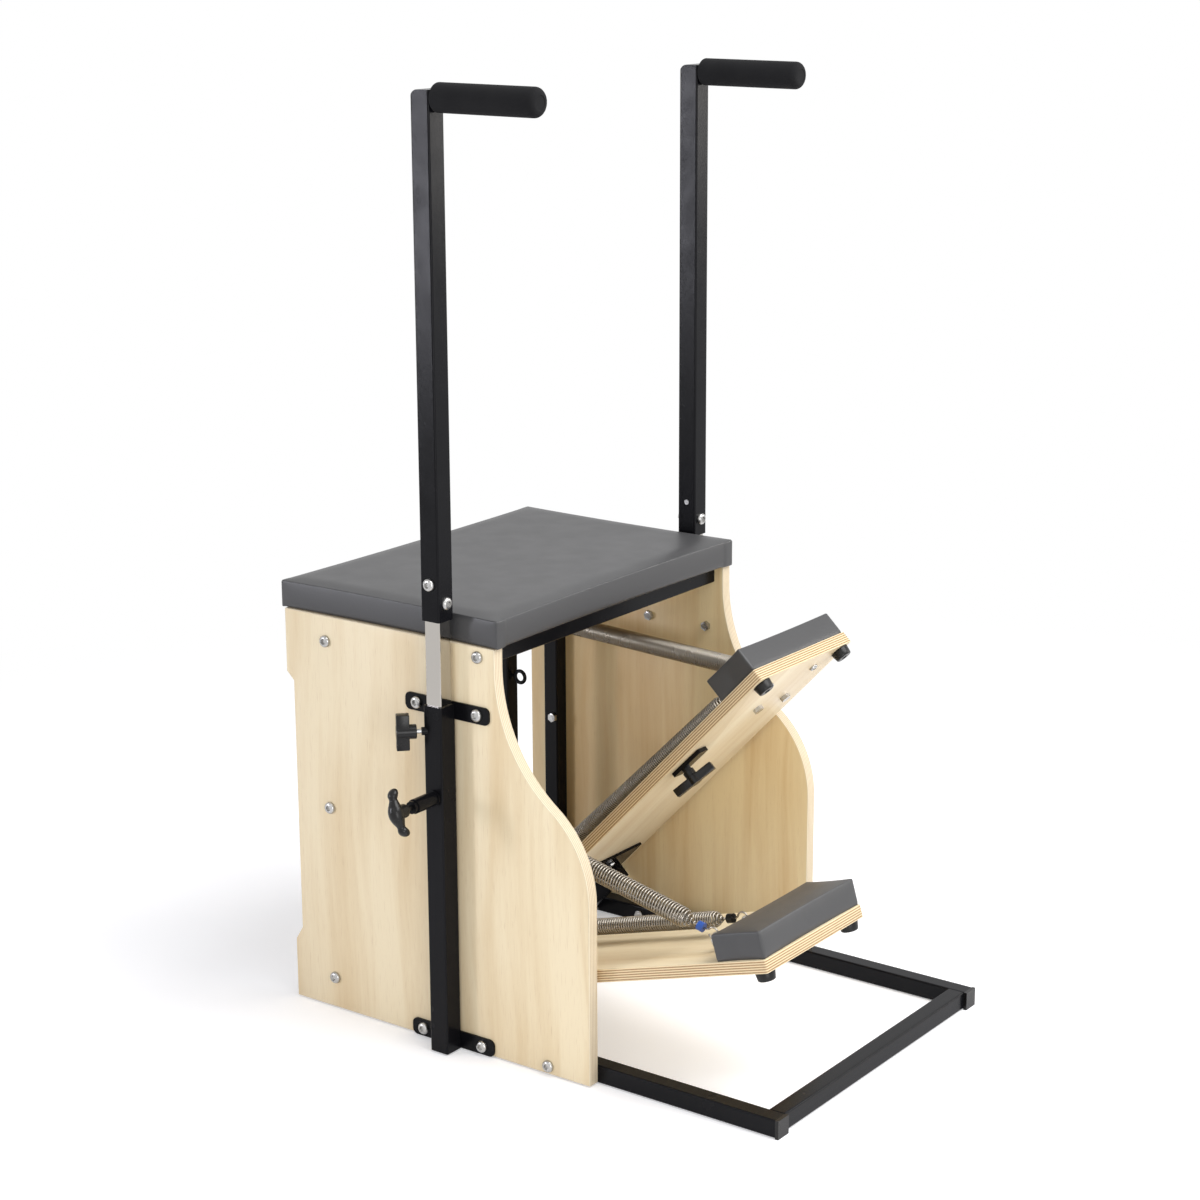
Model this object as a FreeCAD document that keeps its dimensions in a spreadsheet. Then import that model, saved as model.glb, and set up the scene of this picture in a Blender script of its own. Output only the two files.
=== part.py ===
import FreeCAD, Part
import math
import os
import re
from FreeCAD import Placement, Rotation, Vector

# A pilates chair: two plywood sides, a padded seat, a steel base with spring posts,
# two spring-loaded split pedals and two handles that slide in tubes on the sides.
# Lengths are millimetres. X is the width, the pedals point to minus Y, Z is up.
SIZES = {
    # plywood sides
    "panel_outer": 278.0,
    "panel_thick": 18.0,
    "panel_bottom": 2.0,
    "panel_top": 578.0,
    "panel_rear": 399.0,
    "panel_front": -122.0,
    "neck_front": 30.0,
    "sweep_angle": 54.0,
    "low_radius": 150.0,
    "low_start": 253.0,
    "recess_depth": 12.5,
    "recess_top": 475.0,
    "recess_low": 109.0,
    "shoulder_top": 12.0,
    "shoulder_low": 20.0,
    # square steel tube of the frame
    "tube_side": 25.0,
    "tube_wall": 2.0,
    "tube_round": 2.5,
    "rail_bottom": 1.0,
    "rail_front": -400.0,
    "rail_rear": 380.0,
    "cap_thick": 5.0,
    "cap_plug": 14.0,
    "plug_gap": 0.1,
    "post_front": 318.0,
    "seat_rail_front": 45.0,
    "spring_post_in": 152.0,
    "end_plate": 3.0,
    # seat
    "seat_front": 24.5,
    "seat_rear": 405.0,
    "seat_high": 42.0,
    "seat_lip": 12.0,
    "seat_board_thick": 15.0,
    "seat_crown": 3.5,
    "seat_corner": 9.0,
    "seat_draw": 2.0,
    "seat_edge": 5.0,
    # handle sleeves on the sides
    "sleeve_side": 30.0,
    "sleeve_wall": 2.0,
    "sleeve_round": 2.5,
    "sleeve_bottom": 2.0,
    "sleeve_top": 495.0,
    "handle_mid": 109.5,
    "strap_thick": 3.0,
    "strap_long": 143.0,
    "strap_tall": 24.0,
    "strap_round": 8.0,
    "strap_high": 485.0,
    "strap_low": 13.5,
    "strap_reach": 51.3,
    # sliding handles
    "inner_side": 25.0,
    "inner_wall": 2.0,
    "inner_round": 3.0,
    "inner_bottom": 150.0,
    "inner_top": 720.0,
    "hole_pitch": 37.0,
    "hole_radius": 4.6,
    "pin_height": 368.0,
    "upper_bottom": 611.0,
    "upper_top": 1296.0,
    "upper_cap": 9.0,
    "upper_corner": 12.0,
    "outer_bolt_up": 50.0,
    "front_bolt_up": 24.0,
    "peg_radius": 9.0,
    "peg_drop": 10.0,
    "peg_short": 14.0,
    "grip_radius": 19.0,
    "grip_front": -69.0,
    "grip_gap": 1.5,
    "grip_fit": 0.1,
    "grip_round": 8.0,
    # pull plunger
    "pin_radius": 4.0,
    "pin_fit": 0.05,
    "flange_radius": 12.0,
    "flange_long": 3.0,
    "barrel_radius": 10.0,
    "barrel_long": 38.0,
    "barrel_nut_radius": 8.5,
    "barrel_nut_long": 6.0,
    "pull_stand": 22.0,
    "pull_hub_radius": 9.5,
    "pull_hub_long": 16.0,
    "pull_bar_radius": 5.5,
    "pull_bar_bow": 70.0,
    "pull_bar_half_angle": 21.4,
    "pull_turn": 20.0,
    "pull_ball_radius": 7.5,
    # clamp knob on the sleeve corner
    "clamp_below": 36.0,
    "boss_radius": 5.5,
    "boss_out": 3.0,
    "boss_in": 5.0,
    "screw_radius": 3.0,
    "screw_fit": 0.05,
    "screw_tip_in": 3.0,
    "knob_near": 12.0,
    "knob_hub_radius": 8.5,
    "knob_hub_long": 12.0,
    "knob_bar_long": 49.0,
    "knob_bar_thick": 15.0,
    "knob_bar_wide": 14.0,
    "knob_round": 2.5,
    # fasteners
    "bolt_radius": 4.0,
    "bolt_fit": 0.1,
    "head_radius": 7.0,
    "head_high": 4.5,
    "head_rim": 1.5,
    "nut_radius": 7.5,
    "nut_high": 6.0,
    "panel_bolt_back": 325.0,
    "panel_bolt_high": 542.0,
    "panel_bolt_middle": 301.0,
    "panel_bolt_low": 47.0,
    "seat_rail_bolt": 57.5,
    "seat_rail_bolt_up": 564.0,
    "rail_bolt": -53.0,
    # pedals, measured from their axle
    "axle_back": 241.0,
    "axle_up": 13.5,
    "axle_radius": 8.0,
    "axle_fit": 0.05,
    "left_pedal_angle": 16.5,
    "right_pedal_angle": 46.7,
    "pedal_inner": 18.0,
    "pedal_side_gap": 25.0,
    "pedal_front": 655.5,
    "pedal_back": 60.0,
    "pedal_rise": 20.0,
    "pedal_thick": 18.0,
    "pad_inset": 2.5,
    "pad_front_inset": 1.0,
    "pad_deep": 76.0,
    "pad_high": 38.5,
    "pad_corner": 5.0,
    "pad_draw": 1.5,
    "pad_crown": 2.0,
    "pad_edge": 5.0,
    "pad_screw_in": 61.0,
    "pad_screw_front_in": 38.0,
    "bumper_in": 16.5,
    "bumper_front_in": 15.5,
    "bumper_radius": 13.5,
    "bumper_tip_radius": 12.0,
    "bumper_high": 13.0,
    "hinge_plate_thick": 4.0,
    "hinge_plate_front": 150.0,
    "hinge_side_gap": 22.0,
    "hinge_outer_gap": 29.0,
    "hinge_arm_wide": 14.0,
    "hinge_arm_inset": 20.0,
    "hinge_arm_drop": 8.0,
    "hinge_arm_front": 110.0,
    "hinge_ring_radius": 12.0,
    "hinge_bolt_radius": 3.0,
    "hinge_bolt_edge": 22.0,
    "hinge_bolt_inset": 60.0,
    # eyes and springs
    "eye_behind_pad": 33.5,
    "eye_wire": 2.5,
    "eye_ring": 8.0,
    "eye_up": 40.0,
    "outer_spring_in": 82.0,
    "hook_ring": 9.0,
    "hook_wire": 2.75,
    "hook_out": 14.0,
    "hook_back": 337.0,
    "hook_low": 60.0,
    "hook_high": 396.0,
    "left_hook_up": 374.0,
    "right_hook_up": 480.0,
    "spring_radius": 12.15,
    "spring_wire": 2.7,
    "loop_radius": 7.5,
    "loop_slack": 3.2,
    "neck_rear": 6.0,
    "neck_fore": 14.0,
    "collar_radius": 6.5,
    "collar_bore": 1.65,
    "collar_long": 9.0,
    "collar_gap": 2.0,
    # turn plate and knob under the right pedal
    "turn_reach": 438.0,
    "turn_side": 50.0,
    "turn_plate_long": 60.0,
    "turn_plate_wide": 24.0,
    "turn_plate_fore": 12.0,
    "turn_plate_angle": 4.0,
    "turn_plate_thick": 6.0,
    "turn_gap": 0.5,
    "turn_knob_gap": 4.0,
    "turn_hub_long": 12.0,
    "turn_bar_long": 66.0,
    "turn_bar_thick": 12.0,
    "turn_angle": 30.0,
    "turn_collar_radius": 6.5,
    "turn_head_high": 3.0,
    "turn_head_radius": 9.0,
    # one overrun for every cut
    "cut_over": 2.0,
}
HOLES_BELOW = 5
HOLES_ABOVE = 3
CURLS_EACH = 25
HEXAGON = 6
LEVELS = ("high", "middle", "low")
QUARTERS = 4
EIGHTHS = 8
GAP_POINTS = 6
LOOP_RISE = math.sqrt(3)
TINY_SHARE = 1e-6
LEVEL_SHARES = (0.0, 0.3, 0.72, 0.9, 1.0)
INSET_SHARES = (1.0, 0.0, 0.0, 0.35, 1.0)

# Places that several pieces share, as formulas of the sizes.
FACE = "(panel_outer - panel_thick)"
RAIL = f"({FACE} - tube_side)"
SLEEVE_NEAR = "(panel_outer + strap_thick)"
SLEEVE_MID = f"({SLEEVE_NEAR} + sleeve_side / 2)"
SLEEVE_FAR = f"({SLEEVE_NEAR} + sleeve_side)"
BARREL_END = f"({SLEEVE_FAR} + flange_long + barrel_long + barrel_nut_long)"
SLEEVE_FRONT = "(handle_mid - sleeve_side / 2)"
SLEEVE_ROOM = "(sleeve_side - 2 * sleeve_wall)"
GRIP_UP = "(upper_top - peg_drop)"
BOLT_HOLE = "bolt_radius + bolt_fit"
HINGE_NEAR = "(pedal_inner + hinge_side_gap)"
PEDAL_OUTER = "(panel_outer - pedal_side_gap)"
HINGE_FAR = f"({PEDAL_OUTER} - hinge_outer_gap)"
SPRING_SPOTS = {"outer": "(panel_outer - outer_spring_in)", "inner": "(panel_outer - spring_post_in)"}
BUMPER_REACH = "(pedal_front - bumper_front_in)"
EYE_REACH = "(pedal_front - pad_front_inset - pad_deep - eye_behind_pad)"

doc = FreeCAD.newDocument("pilates_chair")
sheet = doc.addObject("Spreadsheet::Sheet", "Sizes")
for row, (word, number) in enumerate(SIZES.items(), start=1):
    sheet.set(f"A{row}", word)
    sheet.set(f"B{row}", str(number))
    sheet.setAlias(f"B{row}", word)
doc.recompute()

X, Y, Z = Vector(1, 0, 0), Vector(0, 1, 0), Vector(0, 0, 1)
AXES = {"x": X, "y": Y, "z": Z}
TURNS = {"x": Rotation(Y, 90), "y": Rotation(X, -90), "z": Rotation()}
TAGS = {-1: "left", 1: "right"}
NODES = []


def size(*words):
    """The sum of some sizes of the sheet; a word after a minus sign is taken away."""
    return sum(-float(sheet.get(w[1:])) if w[0] == "-" else float(sheet.get(w)) for w in words)


def spring_across(kind):
    """How far a pair of springs lies from the middle of the chair."""
    return size("panel_outer", "-outer_spring_in" if kind == "outer" else "-spring_post_in")


def pedal_edge(*words):
    """The pedals' outer edge, with some sizes added."""
    return size("panel_outer", "-pedal_side_gap", *words)


def formula(text):
    """Turns the words of a size formula into cells of the sheet."""
    def cell(match):
        word = match.group(0)
        return "Sizes." + word if word in SIZES else word

    return re.sub(r"[a-z][a-z_]+", cell, text)


def bind(item, **rows):
    for prop, text in rows.items():
        item.setExpression(prop, formula(text))
    return item


def put(item, at):
    for axis, text in zip("xyz", at):
        item.setExpression("Placement.Base." + axis, formula(text))
    return item


def box(name, sizes, at):
    item = doc.addObject("Part::Box", name)
    bind(item, Length=sizes[0], Width=sizes[1], Height=sizes[2])
    return put(item, at)


def rod(name, radius, length, at, axis="z"):
    item = doc.addObject("Part::Cylinder", name)
    item.Placement = Placement(Vector(), TURNS[axis])
    bind(item, Radius=radius, Height=length)
    return put(item, at)


def join(name, *items):
    item = doc.addObject("Part::MultiFuse", name)
    item.Shapes = list(items)
    item.Refine = True
    doc.recompute()
    return item


def cut(name, base, *tools):
    item = doc.addObject("Part::Cut", name)
    item.Base = base
    item.Tool = tools[0] if len(tools) == 1 else join(name + "_tools", *tools)
    doc.recompute()
    return item


def group(name, items):
    item = doc.addObject("Part::Compound", name)
    item.Links = items
    doc.recompute()
    return item


def rounded(name, base, word, pick):
    """Rounds the edges of base for which pick(edge) holds."""
    doc.recompute()
    radius = size(word)
    item = doc.addObject("Part::Fillet", name)
    item.Base = base
    item.Edges = [(k, radius, radius) for k, e in enumerate(base.Shape.Edges, start=1) if pick(e)]
    doc.recompute()
    return item


def along(axis):
    """Picks the straight edges that run along an axis."""
    def pick(edge):
        way = edge.tangentAt(edge.FirstParameter)
        return isinstance(edge.Curve, Part.Line) and abs(way.dot(axis)) > 1 - TINY_SHARE

    return pick


def sided(side, near, far):
    """The lower x of a span from near to far of the middle, on one side."""
    return near if side > 0 else f"-({far})"


def signed(side, text):
    return text if side > 0 else f"-({text})"


def spindle(name, radius, side, near, far, back, up):
    """A round bar along x from near to far of the middle, on one side."""
    return rod(name, radius, f"{far} - ({near})", (sided(side, near, far), back, up), "x")


def drill(name, radius, side, near, far, back, up):
    """The same as a cut, with an overrun at both ends."""
    return spindle(name, radius, side, f"{near} - cut_over", f"{far} + cut_over", back, up)


def tube(name, sizes, at, axis, wall="tube_wall", bend="tube_round"):
    """A square tube along an axis with rounded long edges and open ends."""
    outside = rounded(name + "_outside", box(name + "_bar", sizes, at), bend, along(AXES[axis]))
    room = [f"{s} - 2 * {wall}" for s in sizes]
    start = [f"{p} + {wall}" for p in at]
    k = "xyz".index(axis)
    room[k] = f"{sizes[k]} + 2 * cut_over"
    start[k] = f"{at[k]} - cut_over"
    return cut(name + "_tube", outside, box(name + "_bore", room, start))


def node(name, item):
    """Names a finished piece."""
    item.Label = name
    NODES.append((name, item))


def feature(name, shape):
    """A piece whose form no primitive gives."""
    item = doc.addObject("Part::Feature", name + "_form")
    item.Shape = shape
    return item


# Fasteners: a domed head, a shank and a nut, drawn up tight as one piece.
def hexagon(radius, base, tall):
    """A hexagon prism, corners at radius, standing on base."""
    angles = [math.tau * k / HEXAGON for k in range(HEXAGON + 1)]
    corners = [base + Vector(radius * math.cos(a), radius * math.sin(a), 0) for a in angles]
    return Part.Face(Part.makePolygon(corners)).extrude(Vector(0, 0, tall))


def bolt_shape(shank, grip, share, nutted):
    """Head above the plane z = 0, shank down through grip, a nut below if any; share scales head and nut."""
    head_radius, head_high, rim = (size(word) * share for word in ("head_radius", "head_high", "head_rim"))
    nut_radius, nut_high = (size(word) * share for word in ("nut_radius", "nut_high"))
    rise = head_high - rim
    ball = (head_radius ** 2 + rise ** 2) / (2 * rise)
    dome = Part.makeSphere(ball, Vector(0, 0, head_high - ball), X)
    head = Part.makeCylinder(head_radius, head_high).common(dome)
    foot = Vector(0, 0, -grip - nut_high if nutted else -grip)
    stem = Part.makeCylinder(shank, rim - foot.z, foot)
    return head.fuse([stem, hexagon(nut_radius, foot, nut_high)] if nutted else [stem])


def bolts(places, tapped=()):
    """A group of bolts: each place is the head's point, the way out, the grip and the shank's word.
    Tapped places have a thread in the far wall and no nut."""
    made = []
    for point, out, grip, shank in [*places, *tapped]:
        nutted = (point, out, grip, shank) not in tapped
        one = bolt_shape(size(shank), grip, size(shank) / size("bolt_radius"), nutted)
        one.Placement = Placement(point, Rotation(Z, out))
        made.append(one)
    return Part.makeCompound(made)


# Sides: straight at the back, an S from the narrow top out to the foot at the front.
def side_outline():
    """Corner points, then the middle of the low arc, where the arcs meet, and the middle of the high arc."""
    turn = math.radians(size("sweep_angle"))
    low, start = size("low_radius"), size("low_start")
    front, neck = size("panel_front"), size("neck_front")
    high = (neck - front) / (1 - math.cos(turn)) - low
    stop = start + (low + high) * math.sin(turn)

    def on_low(angle):
        return Vector(front + low * (1 - math.cos(angle)), start + low * math.sin(angle), 0)

    high_mid = Vector(neck - high * (1 - math.cos(turn / 2)), stop - high * math.sin(turn / 2), 0)
    rear, inset = size("panel_rear"), size("panel_rear", "-recess_depth")
    bottom, top = size("panel_bottom"), size("panel_top")
    corners = [
        (neck, stop),
        (neck, top),
        (rear, top),
        (rear, size("recess_top", "shoulder_top")),
        (inset, size("recess_top")),
        (inset, size("recess_low")),
        (rear, size("recess_low", "-shoulder_low")),
        (rear, bottom),
        (front, bottom),
        (front, start),
    ]
    return [Vector(y, z, 0) for y, z in corners], on_low(turn / 2), on_low(turn), high_mid


def panel(side):
    tag = TAGS[side]
    corners, low_mid, meet, high_mid = side_outline()
    body = doc.addObject("PartDesign::Body", tag + "_panel_blank")
    drawing = body.newObject("Sketcher::SketchObject", tag + "_panel_outline")
    drawing.AttachmentSupport = [([f for f in body.Origin.OriginFeatures if f.Role == "YZ_Plane"][0], "")]
    drawing.MapMode = "FlatFace"
    for a, b in zip(corners, corners[1:]):
        drawing.addGeometry(Part.LineSegment(a, b), False)
    drawing.addGeometry(Part.Arc(corners[-1], low_mid, meet), False)
    drawing.addGeometry(Part.Arc(meet, high_mid, corners[0]), False)
    doc.recompute()
    pad = body.newObject("PartDesign::Pad", tag + "_panel_pad")
    pad.Profile = drawing
    bind(pad, Length="panel_thick")
    body.Tip = pad
    put(body, (sided(side, FACE, "panel_outer"), "0", "0"))
    doc.recompute()
    spots = [("panel_bolt_back", f"panel_bolt_{level}") for level in LEVELS]
    spots += [("seat_rail_bolt", "seat_rail_bolt_up"), ("rail_bolt", "axle_up")]
    reaches = [f"handle_mid {way} strap_reach" for way in "+-"]
    spots += [(back, f"strap_{level}") for back in reaches for level in ("high", "low")]
    holes = [drill(f"{tag}_panel_hole_{k}", BOLT_HOLE, side, FACE, "panel_outer", back, up)
             for k, (back, up) in enumerate(spots)]
    node(tag + "_panel", cut(tag + "_panel_cut", body, *holes))


# Base, posts and rails of square tube.
def bolted(name, item, side, spots):
    """A tube on the inner face of a side, drilled through for bolts."""
    holes = [drill(f"{name}_hole_{k}", BOLT_HOLE, side, RAIL, FACE, back, up)
             for k, (back, up) in enumerate(spots)]
    return cut(name + "_cut", item, *holes)


def side_frame(side):
    tag = TAGS[side]
    start = sided(side, RAIL, FACE)
    rail = tube(f"base_{tag}", ("tube_side", "rail_rear - rail_front", "tube_side"),
                (start, "rail_front", "rail_bottom"), "y")
    spots = [("rail_bolt", "axle_up")] + [(f"handle_mid {way} strap_reach", "strap_low") for way in "+-"]
    node(f"base_{tag}_rail", bolted(f"base_{tag}", rail, side, spots))
    foot = "rail_bottom + tube_side"
    post = tube(f"{tag}_corner", ("tube_side", "tube_side", f"panel_top - ({foot})"),
                (start, "post_front", foot), "z")
    spots = [("panel_bolt_back", f"panel_bolt_{level}") for level in LEVELS]
    node(f"{tag}_corner_post", bolted(f"{tag}_corner", post, side, spots))
    post = SPRING_SPOTS["inner"]
    inner = sided(side, f"{post} - tube_side / 2", f"{post} + tube_side / 2")
    tall = f"panel_top - tube_side - ({foot})"
    post = tube(f"{tag}_spring", ("tube_side", "tube_side", tall), (inner, "post_front", foot), "z")
    node(f"{tag}_spring_post", post)


def caps():
    """A plug in each end of the side rails, with a face that reaches down to the floor."""
    made = []
    inset = "(tube_wall + plug_gap)"
    room = f"tube_side - 2 * {inset}"
    ends = {"front": ("rail_front - cap_thick", "rail_front"), "rear": ("rail_rear", "rail_rear - cap_plug")}
    for side, tag in TAGS.items():
        for end, (face_at, plug_at) in ends.items():
            name = f"{tag}_{end}_cap"
            face = box(name + "_face", ("tube_side", "cap_thick", "tube_side + rail_bottom"),
                       (sided(side, RAIL, FACE), face_at, "0"))
            across = sided(side, f"{RAIL} + {inset}", f"{FACE} - {inset}")
            plug = box(name + "_plug", (room, "cap_plug", room), (across, plug_at, f"rail_bottom + {inset}"))
            made.append(join(name, face, plug))
    node("rail_end_caps", group("rail_cap_group", made))


def cross_rails():
    sizes = (f"2 * {RAIL}", "tube_side", "tube_side")
    places = {
        "base_front_rail": ("rail_front", "rail_bottom"),
        "base_rear_rail": ("post_front", "rail_bottom"),
        "rear_top_rail": ("post_front", "panel_top - tube_side"),
    }
    for name, (back, up) in places.items():
        node(name, tube(name + "_bar", sizes, (f"-{RAIL}", back, up), "x"))
    up = "panel_top - tube_side"
    rail = tube("seat_rail", (f"2 * {FACE}", "tube_side", "tube_side"),
                (f"-{FACE}", "seat_rail_front", up), "x")
    room = "tube_side - 2 * tube_wall"
    plates = []
    for side, tag in TAGS.items():
        near = f"({FACE} - end_plate)"
        plate = box(f"{tag}_rail_end", ("end_plate", room, room),
                    (sided(side, near, FACE), "seat_rail_front + tube_wall", f"{up} + tube_wall"))
        spot = ("seat_rail_bolt", "seat_rail_bolt_up")
        hole = drill(f"{tag}_rail_end_bore", BOLT_HOLE, side, near, FACE, *spot)
        plates.append(cut(f"{tag}_rail_end_cut", plate, hole))
    node("front_seat_rail", join("front_seat_rail_welded", rail, *plates))


# Cushions: drawn-in sides, rounded corners and a crowned top.
def rectangle(low, high, up, corner):
    """A rounded rectangle between two corners, as a closed wire of lines and quarter arcs."""
    left, right, front, back = low.x + corner, high.x - corner, low.y + corner, high.y - corner
    centres = ((right, front), (right, back), (left, back), (left, front))
    arcs = []
    for k, (x, y) in enumerate(centres):
        angles = [math.tau * (k - 1 + part / 2) / QUARTERS for part in range(3)]
        arcs.append([Vector(x + corner * math.cos(a), y + corner * math.sin(a), up) for a in angles])
    edges = []
    for this, following in zip(arcs, arcs[1:] + arcs[:1]):
        edges.append(Part.Arc(*this).toShape())
        edges.append(Part.LineSegment(this[-1], following[0]).toShape())
    return Part.Wire(edges)


def cushion(low, high, words):
    """A pad between two corners; words starts the names of its corner, draw, edge and crown sizes."""
    corner, draw, edge, crown = (size(f"{words}_{part}") for part in ("corner", "draw", "edge", "crown"))
    tall = high.z - low.z
    sections = []
    for level, share in zip(LEVEL_SHARES, INSET_SHARES):
        inset = share * (edge if level else draw)
        step = Vector(inset, inset, 0)
        sections.append(rectangle(low + step, high - step, low.z + level * tall, corner))
    body = Part.makeLoft(sections, True, True)
    reach = max(high.x - low.x, high.y - low.y) / 2
    radius = (reach ** 2 + crown ** 2) / (2 * crown)
    middle = (low + high) * 0.5
    return body.common(Part.makeSphere(radius, Vector(middle.x, middle.y, high.z - radius)))


def seat():
    low = Vector(-size("panel_outer"), size("seat_front"), size("panel_top"))
    high = Vector(size("panel_outer"), size("seat_rear"), size("panel_top", "seat_high"))
    form = feature("seat_cushion", cushion(low, high, "seat"))
    wide, deep = "2 * (panel_outer - seat_lip)", "seat_rear - seat_front - 2 * seat_lip"
    x, y = "seat_lip - panel_outer", "seat_front + seat_lip"
    node("seat_board", box("seat_board_sheet", (wide, deep, "seat_board_thick"), (x, y, "panel_top")))
    room = box("seat_board_room", (wide, deep, "seat_board_thick + cut_over"), (x, y, "panel_top - cut_over"))
    node("seat_cushion", cut("seat_cushion_cut", form, room))


# Handle sleeve: square tube with two welded straps and a corner boss for the clamp screw.
def clamp_line(side):
    """Where the clamp screw's line meets the sleeve's rear outer corner, and its way outward."""
    x = size("panel_outer", "strap_thick", "sleeve_side")
    point = Vector(side * x, size("handle_mid") + size("sleeve_side") / 2, size("sleeve_top", "-clamp_below"))
    return point, Vector(side, 1, 0).normalize()


def clamp_rod(name, radius, side, start, stop):
    """A round bar on the clamp's line; start and stop are sums of words, measured from the corner outward."""
    item = doc.addObject("Part::Cylinder", name)
    bind(item, Radius=radius, Height=f"({' + '.join(stop)}) - ({' + '.join(start)})")
    point, way = clamp_line(side)
    item.Placement = Placement(point + way * size(*start), Rotation(Z, way))
    return item


def sleeve(side):
    tag = TAGS[side]
    tall = "sleeve_top - sleeve_bottom"
    start = sided(side, SLEEVE_NEAR, SLEEVE_FAR)
    blank = box(f"{tag}_sleeve_bar", ("sleeve_side", "sleeve_side", tall),
                (start, SLEEVE_FRONT, "sleeve_bottom"))
    pieces = [rounded(f"{tag}_sleeve_outside", blank, "sleeve_round", along(Z))]
    room_at = (sided(side, f"{SLEEVE_NEAR} + sleeve_wall", f"{SLEEVE_FAR} - sleeve_wall"),
               f"{SLEEVE_FRONT} + sleeve_wall", "sleeve_bottom - cut_over")
    tools = [box(f"{tag}_sleeve_bore", (SLEEVE_ROOM, SLEEVE_ROOM, f"{tall} + 2 * cut_over"), room_at)]
    strap_at = sided(side, "panel_outer", SLEEVE_NEAR)
    for level in ("high", "low"):
        up = f"strap_{level}"
        flat = box(f"{tag}_{up}_bar", ("strap_thick", "strap_long", "strap_tall"),
                   (strap_at, "handle_mid - strap_long / 2", f"{up} - strap_tall / 2"))
        pieces.append(rounded(f"{tag}_{up}", flat, "strap_round", along(X)))
        for k, way in enumerate("+-"):
            tools.append(drill(f"{tag}_{up}_hole_{k}", BOLT_HOLE, side, "panel_outer", SLEEVE_NEAR,
                               f"handle_mid {way} strap_reach", up))
    pieces.append(clamp_rod(f"{tag}_boss", "boss_radius", side, ["-boss_in"], ["boss_out"]))
    tools.append(clamp_rod(f"{tag}_boss_bore", "screw_radius + screw_fit", side, ["-boss_in", "-cut_over"],
                           ["boss_out", "cut_over"]))
    wall = f"({SLEEVE_FAR} - sleeve_wall)"
    spot = ("handle_mid", "pin_height")
    tools.append(drill(f"{tag}_pin_bore", "pin_radius + pin_fit", side, wall, SLEEVE_FAR, *spot))
    node(f"{tag}_sleeve", cut(f"{tag}_sleeve_cut", join(f"{tag}_sleeve_welded", *pieces), *tools))


# Pull plunger: a barrel on the sleeve's outer face, a pin through it and a bowed pull.
def plunger(side):
    """The pin is parked drawn: its tip is level with the sleeve's inner wall."""
    tag = TAGS[side]
    place = ("handle_mid", "pin_height")
    flange_end, barrel_end = f"({SLEEVE_FAR} + flange_long)", f"({SLEEVE_FAR} + flange_long + barrel_long)"
    steps = [("flange", SLEEVE_FAR, flange_end), ("barrel", flange_end, barrel_end)]
    steps.append(("barrel_nut", barrel_end, BARREL_END))
    turned = [spindle(f"{tag}_{word}_step", f"{word}_radius", side, near, far, *place)
              for word, near, far in steps]
    bore = drill(f"{tag}_barrel_bore", "pin_radius + pin_fit", side, SLEEVE_FAR, BARREL_END, *place)
    node(f"{tag}_plunger_barrel", cut(f"{tag}_barrel_cut", join(f"{tag}_barrel_turned", *turned), bore))
    pull_at = f"({BARREL_END} + pull_stand)"
    node(f"{tag}_plunger_pin",
         spindle(f"{tag}_pin_bar", "pin_radius", side, f"({SLEEVE_FAR} - sleeve_wall)", pull_at, *place))
    hub = spindle(f"{tag}_pull_hub", "pull_hub_radius", side, pull_at, f"{pull_at} + pull_hub_long", *place)
    bow = doc.addObject("Part::Torus", f"{tag}_pull_bar")
    bind(bow, Radius1="pull_bar_bow", Radius2="pull_bar_radius", Angle3="2 * pull_bar_half_angle")
    half, reach = size("pull_bar_half_angle"), size("pull_bar_bow")
    turned_by = Rotation(X, -size("pull_turn"))
    middle = size("panel_outer", "strap_thick", "sleeve_side", "flange_long", "barrel_long", "barrel_nut_long")
    middle += size("pull_stand") + size("pull_hub_long") / 2
    centre = Vector(side * (middle - reach), size("handle_mid"), size("pin_height"))
    start = Rotation(Z, -half if side > 0 else 180 - half)
    bow.Placement = Placement(centre, turned_by.multiply(Rotation(X, 90)).multiply(start))
    balls = []
    for k, way in enumerate((-1, 1)):
        ball = doc.addObject("Part::Sphere", f"{tag}_pull_ball_{k}")
        bind(ball, Radius="pull_ball_radius")
        angle = math.radians(half)
        arm = Vector(side * math.cos(angle), 0, way * math.sin(angle)) * reach
        ball.Placement.Base = centre + turned_by.multVec(arm)
        balls.append(ball)
    node(f"{tag}_plunger_pull", join(f"{tag}_pull_moulded", hub, bow, *balls))


def clamp(side):
    """Bar knob moulded on its screw, on the sleeve's rear outer corner."""
    tag = TAGS[side]
    point, way = clamp_line(side)
    hub_end = ["knob_near", "knob_hub_long"]
    screw = clamp_rod(f"{tag}_clamp_screw", "screw_radius", side, ["-screw_tip_in"], hub_end)
    hub = clamp_rod(f"{tag}_clamp_hub", "knob_hub_radius", side, ["knob_near"], hub_end)
    block = doc.addObject("Part::Box", f"{tag}_clamp_bar_block")
    bind(block, Length="knob_bar_wide", Width="knob_bar_long", Height="knob_bar_thick")
    bar = rounded(f"{tag}_clamp_bar", block, "knob_round", lambda e: True)
    across = Z.cross(way)
    corner = point + way * size(*hub_end, "-knob_round")
    corner -= across * (size("knob_bar_wide") / 2) + Z * (size("knob_bar_long") / 2)
    bar.Placement = Placement(corner, Rotation(across, Z, way, "ZYX"))
    node(f"{tag}_clamp_knob", join(f"{tag}_clamp_moulded", screw, hub, bar))


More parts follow.
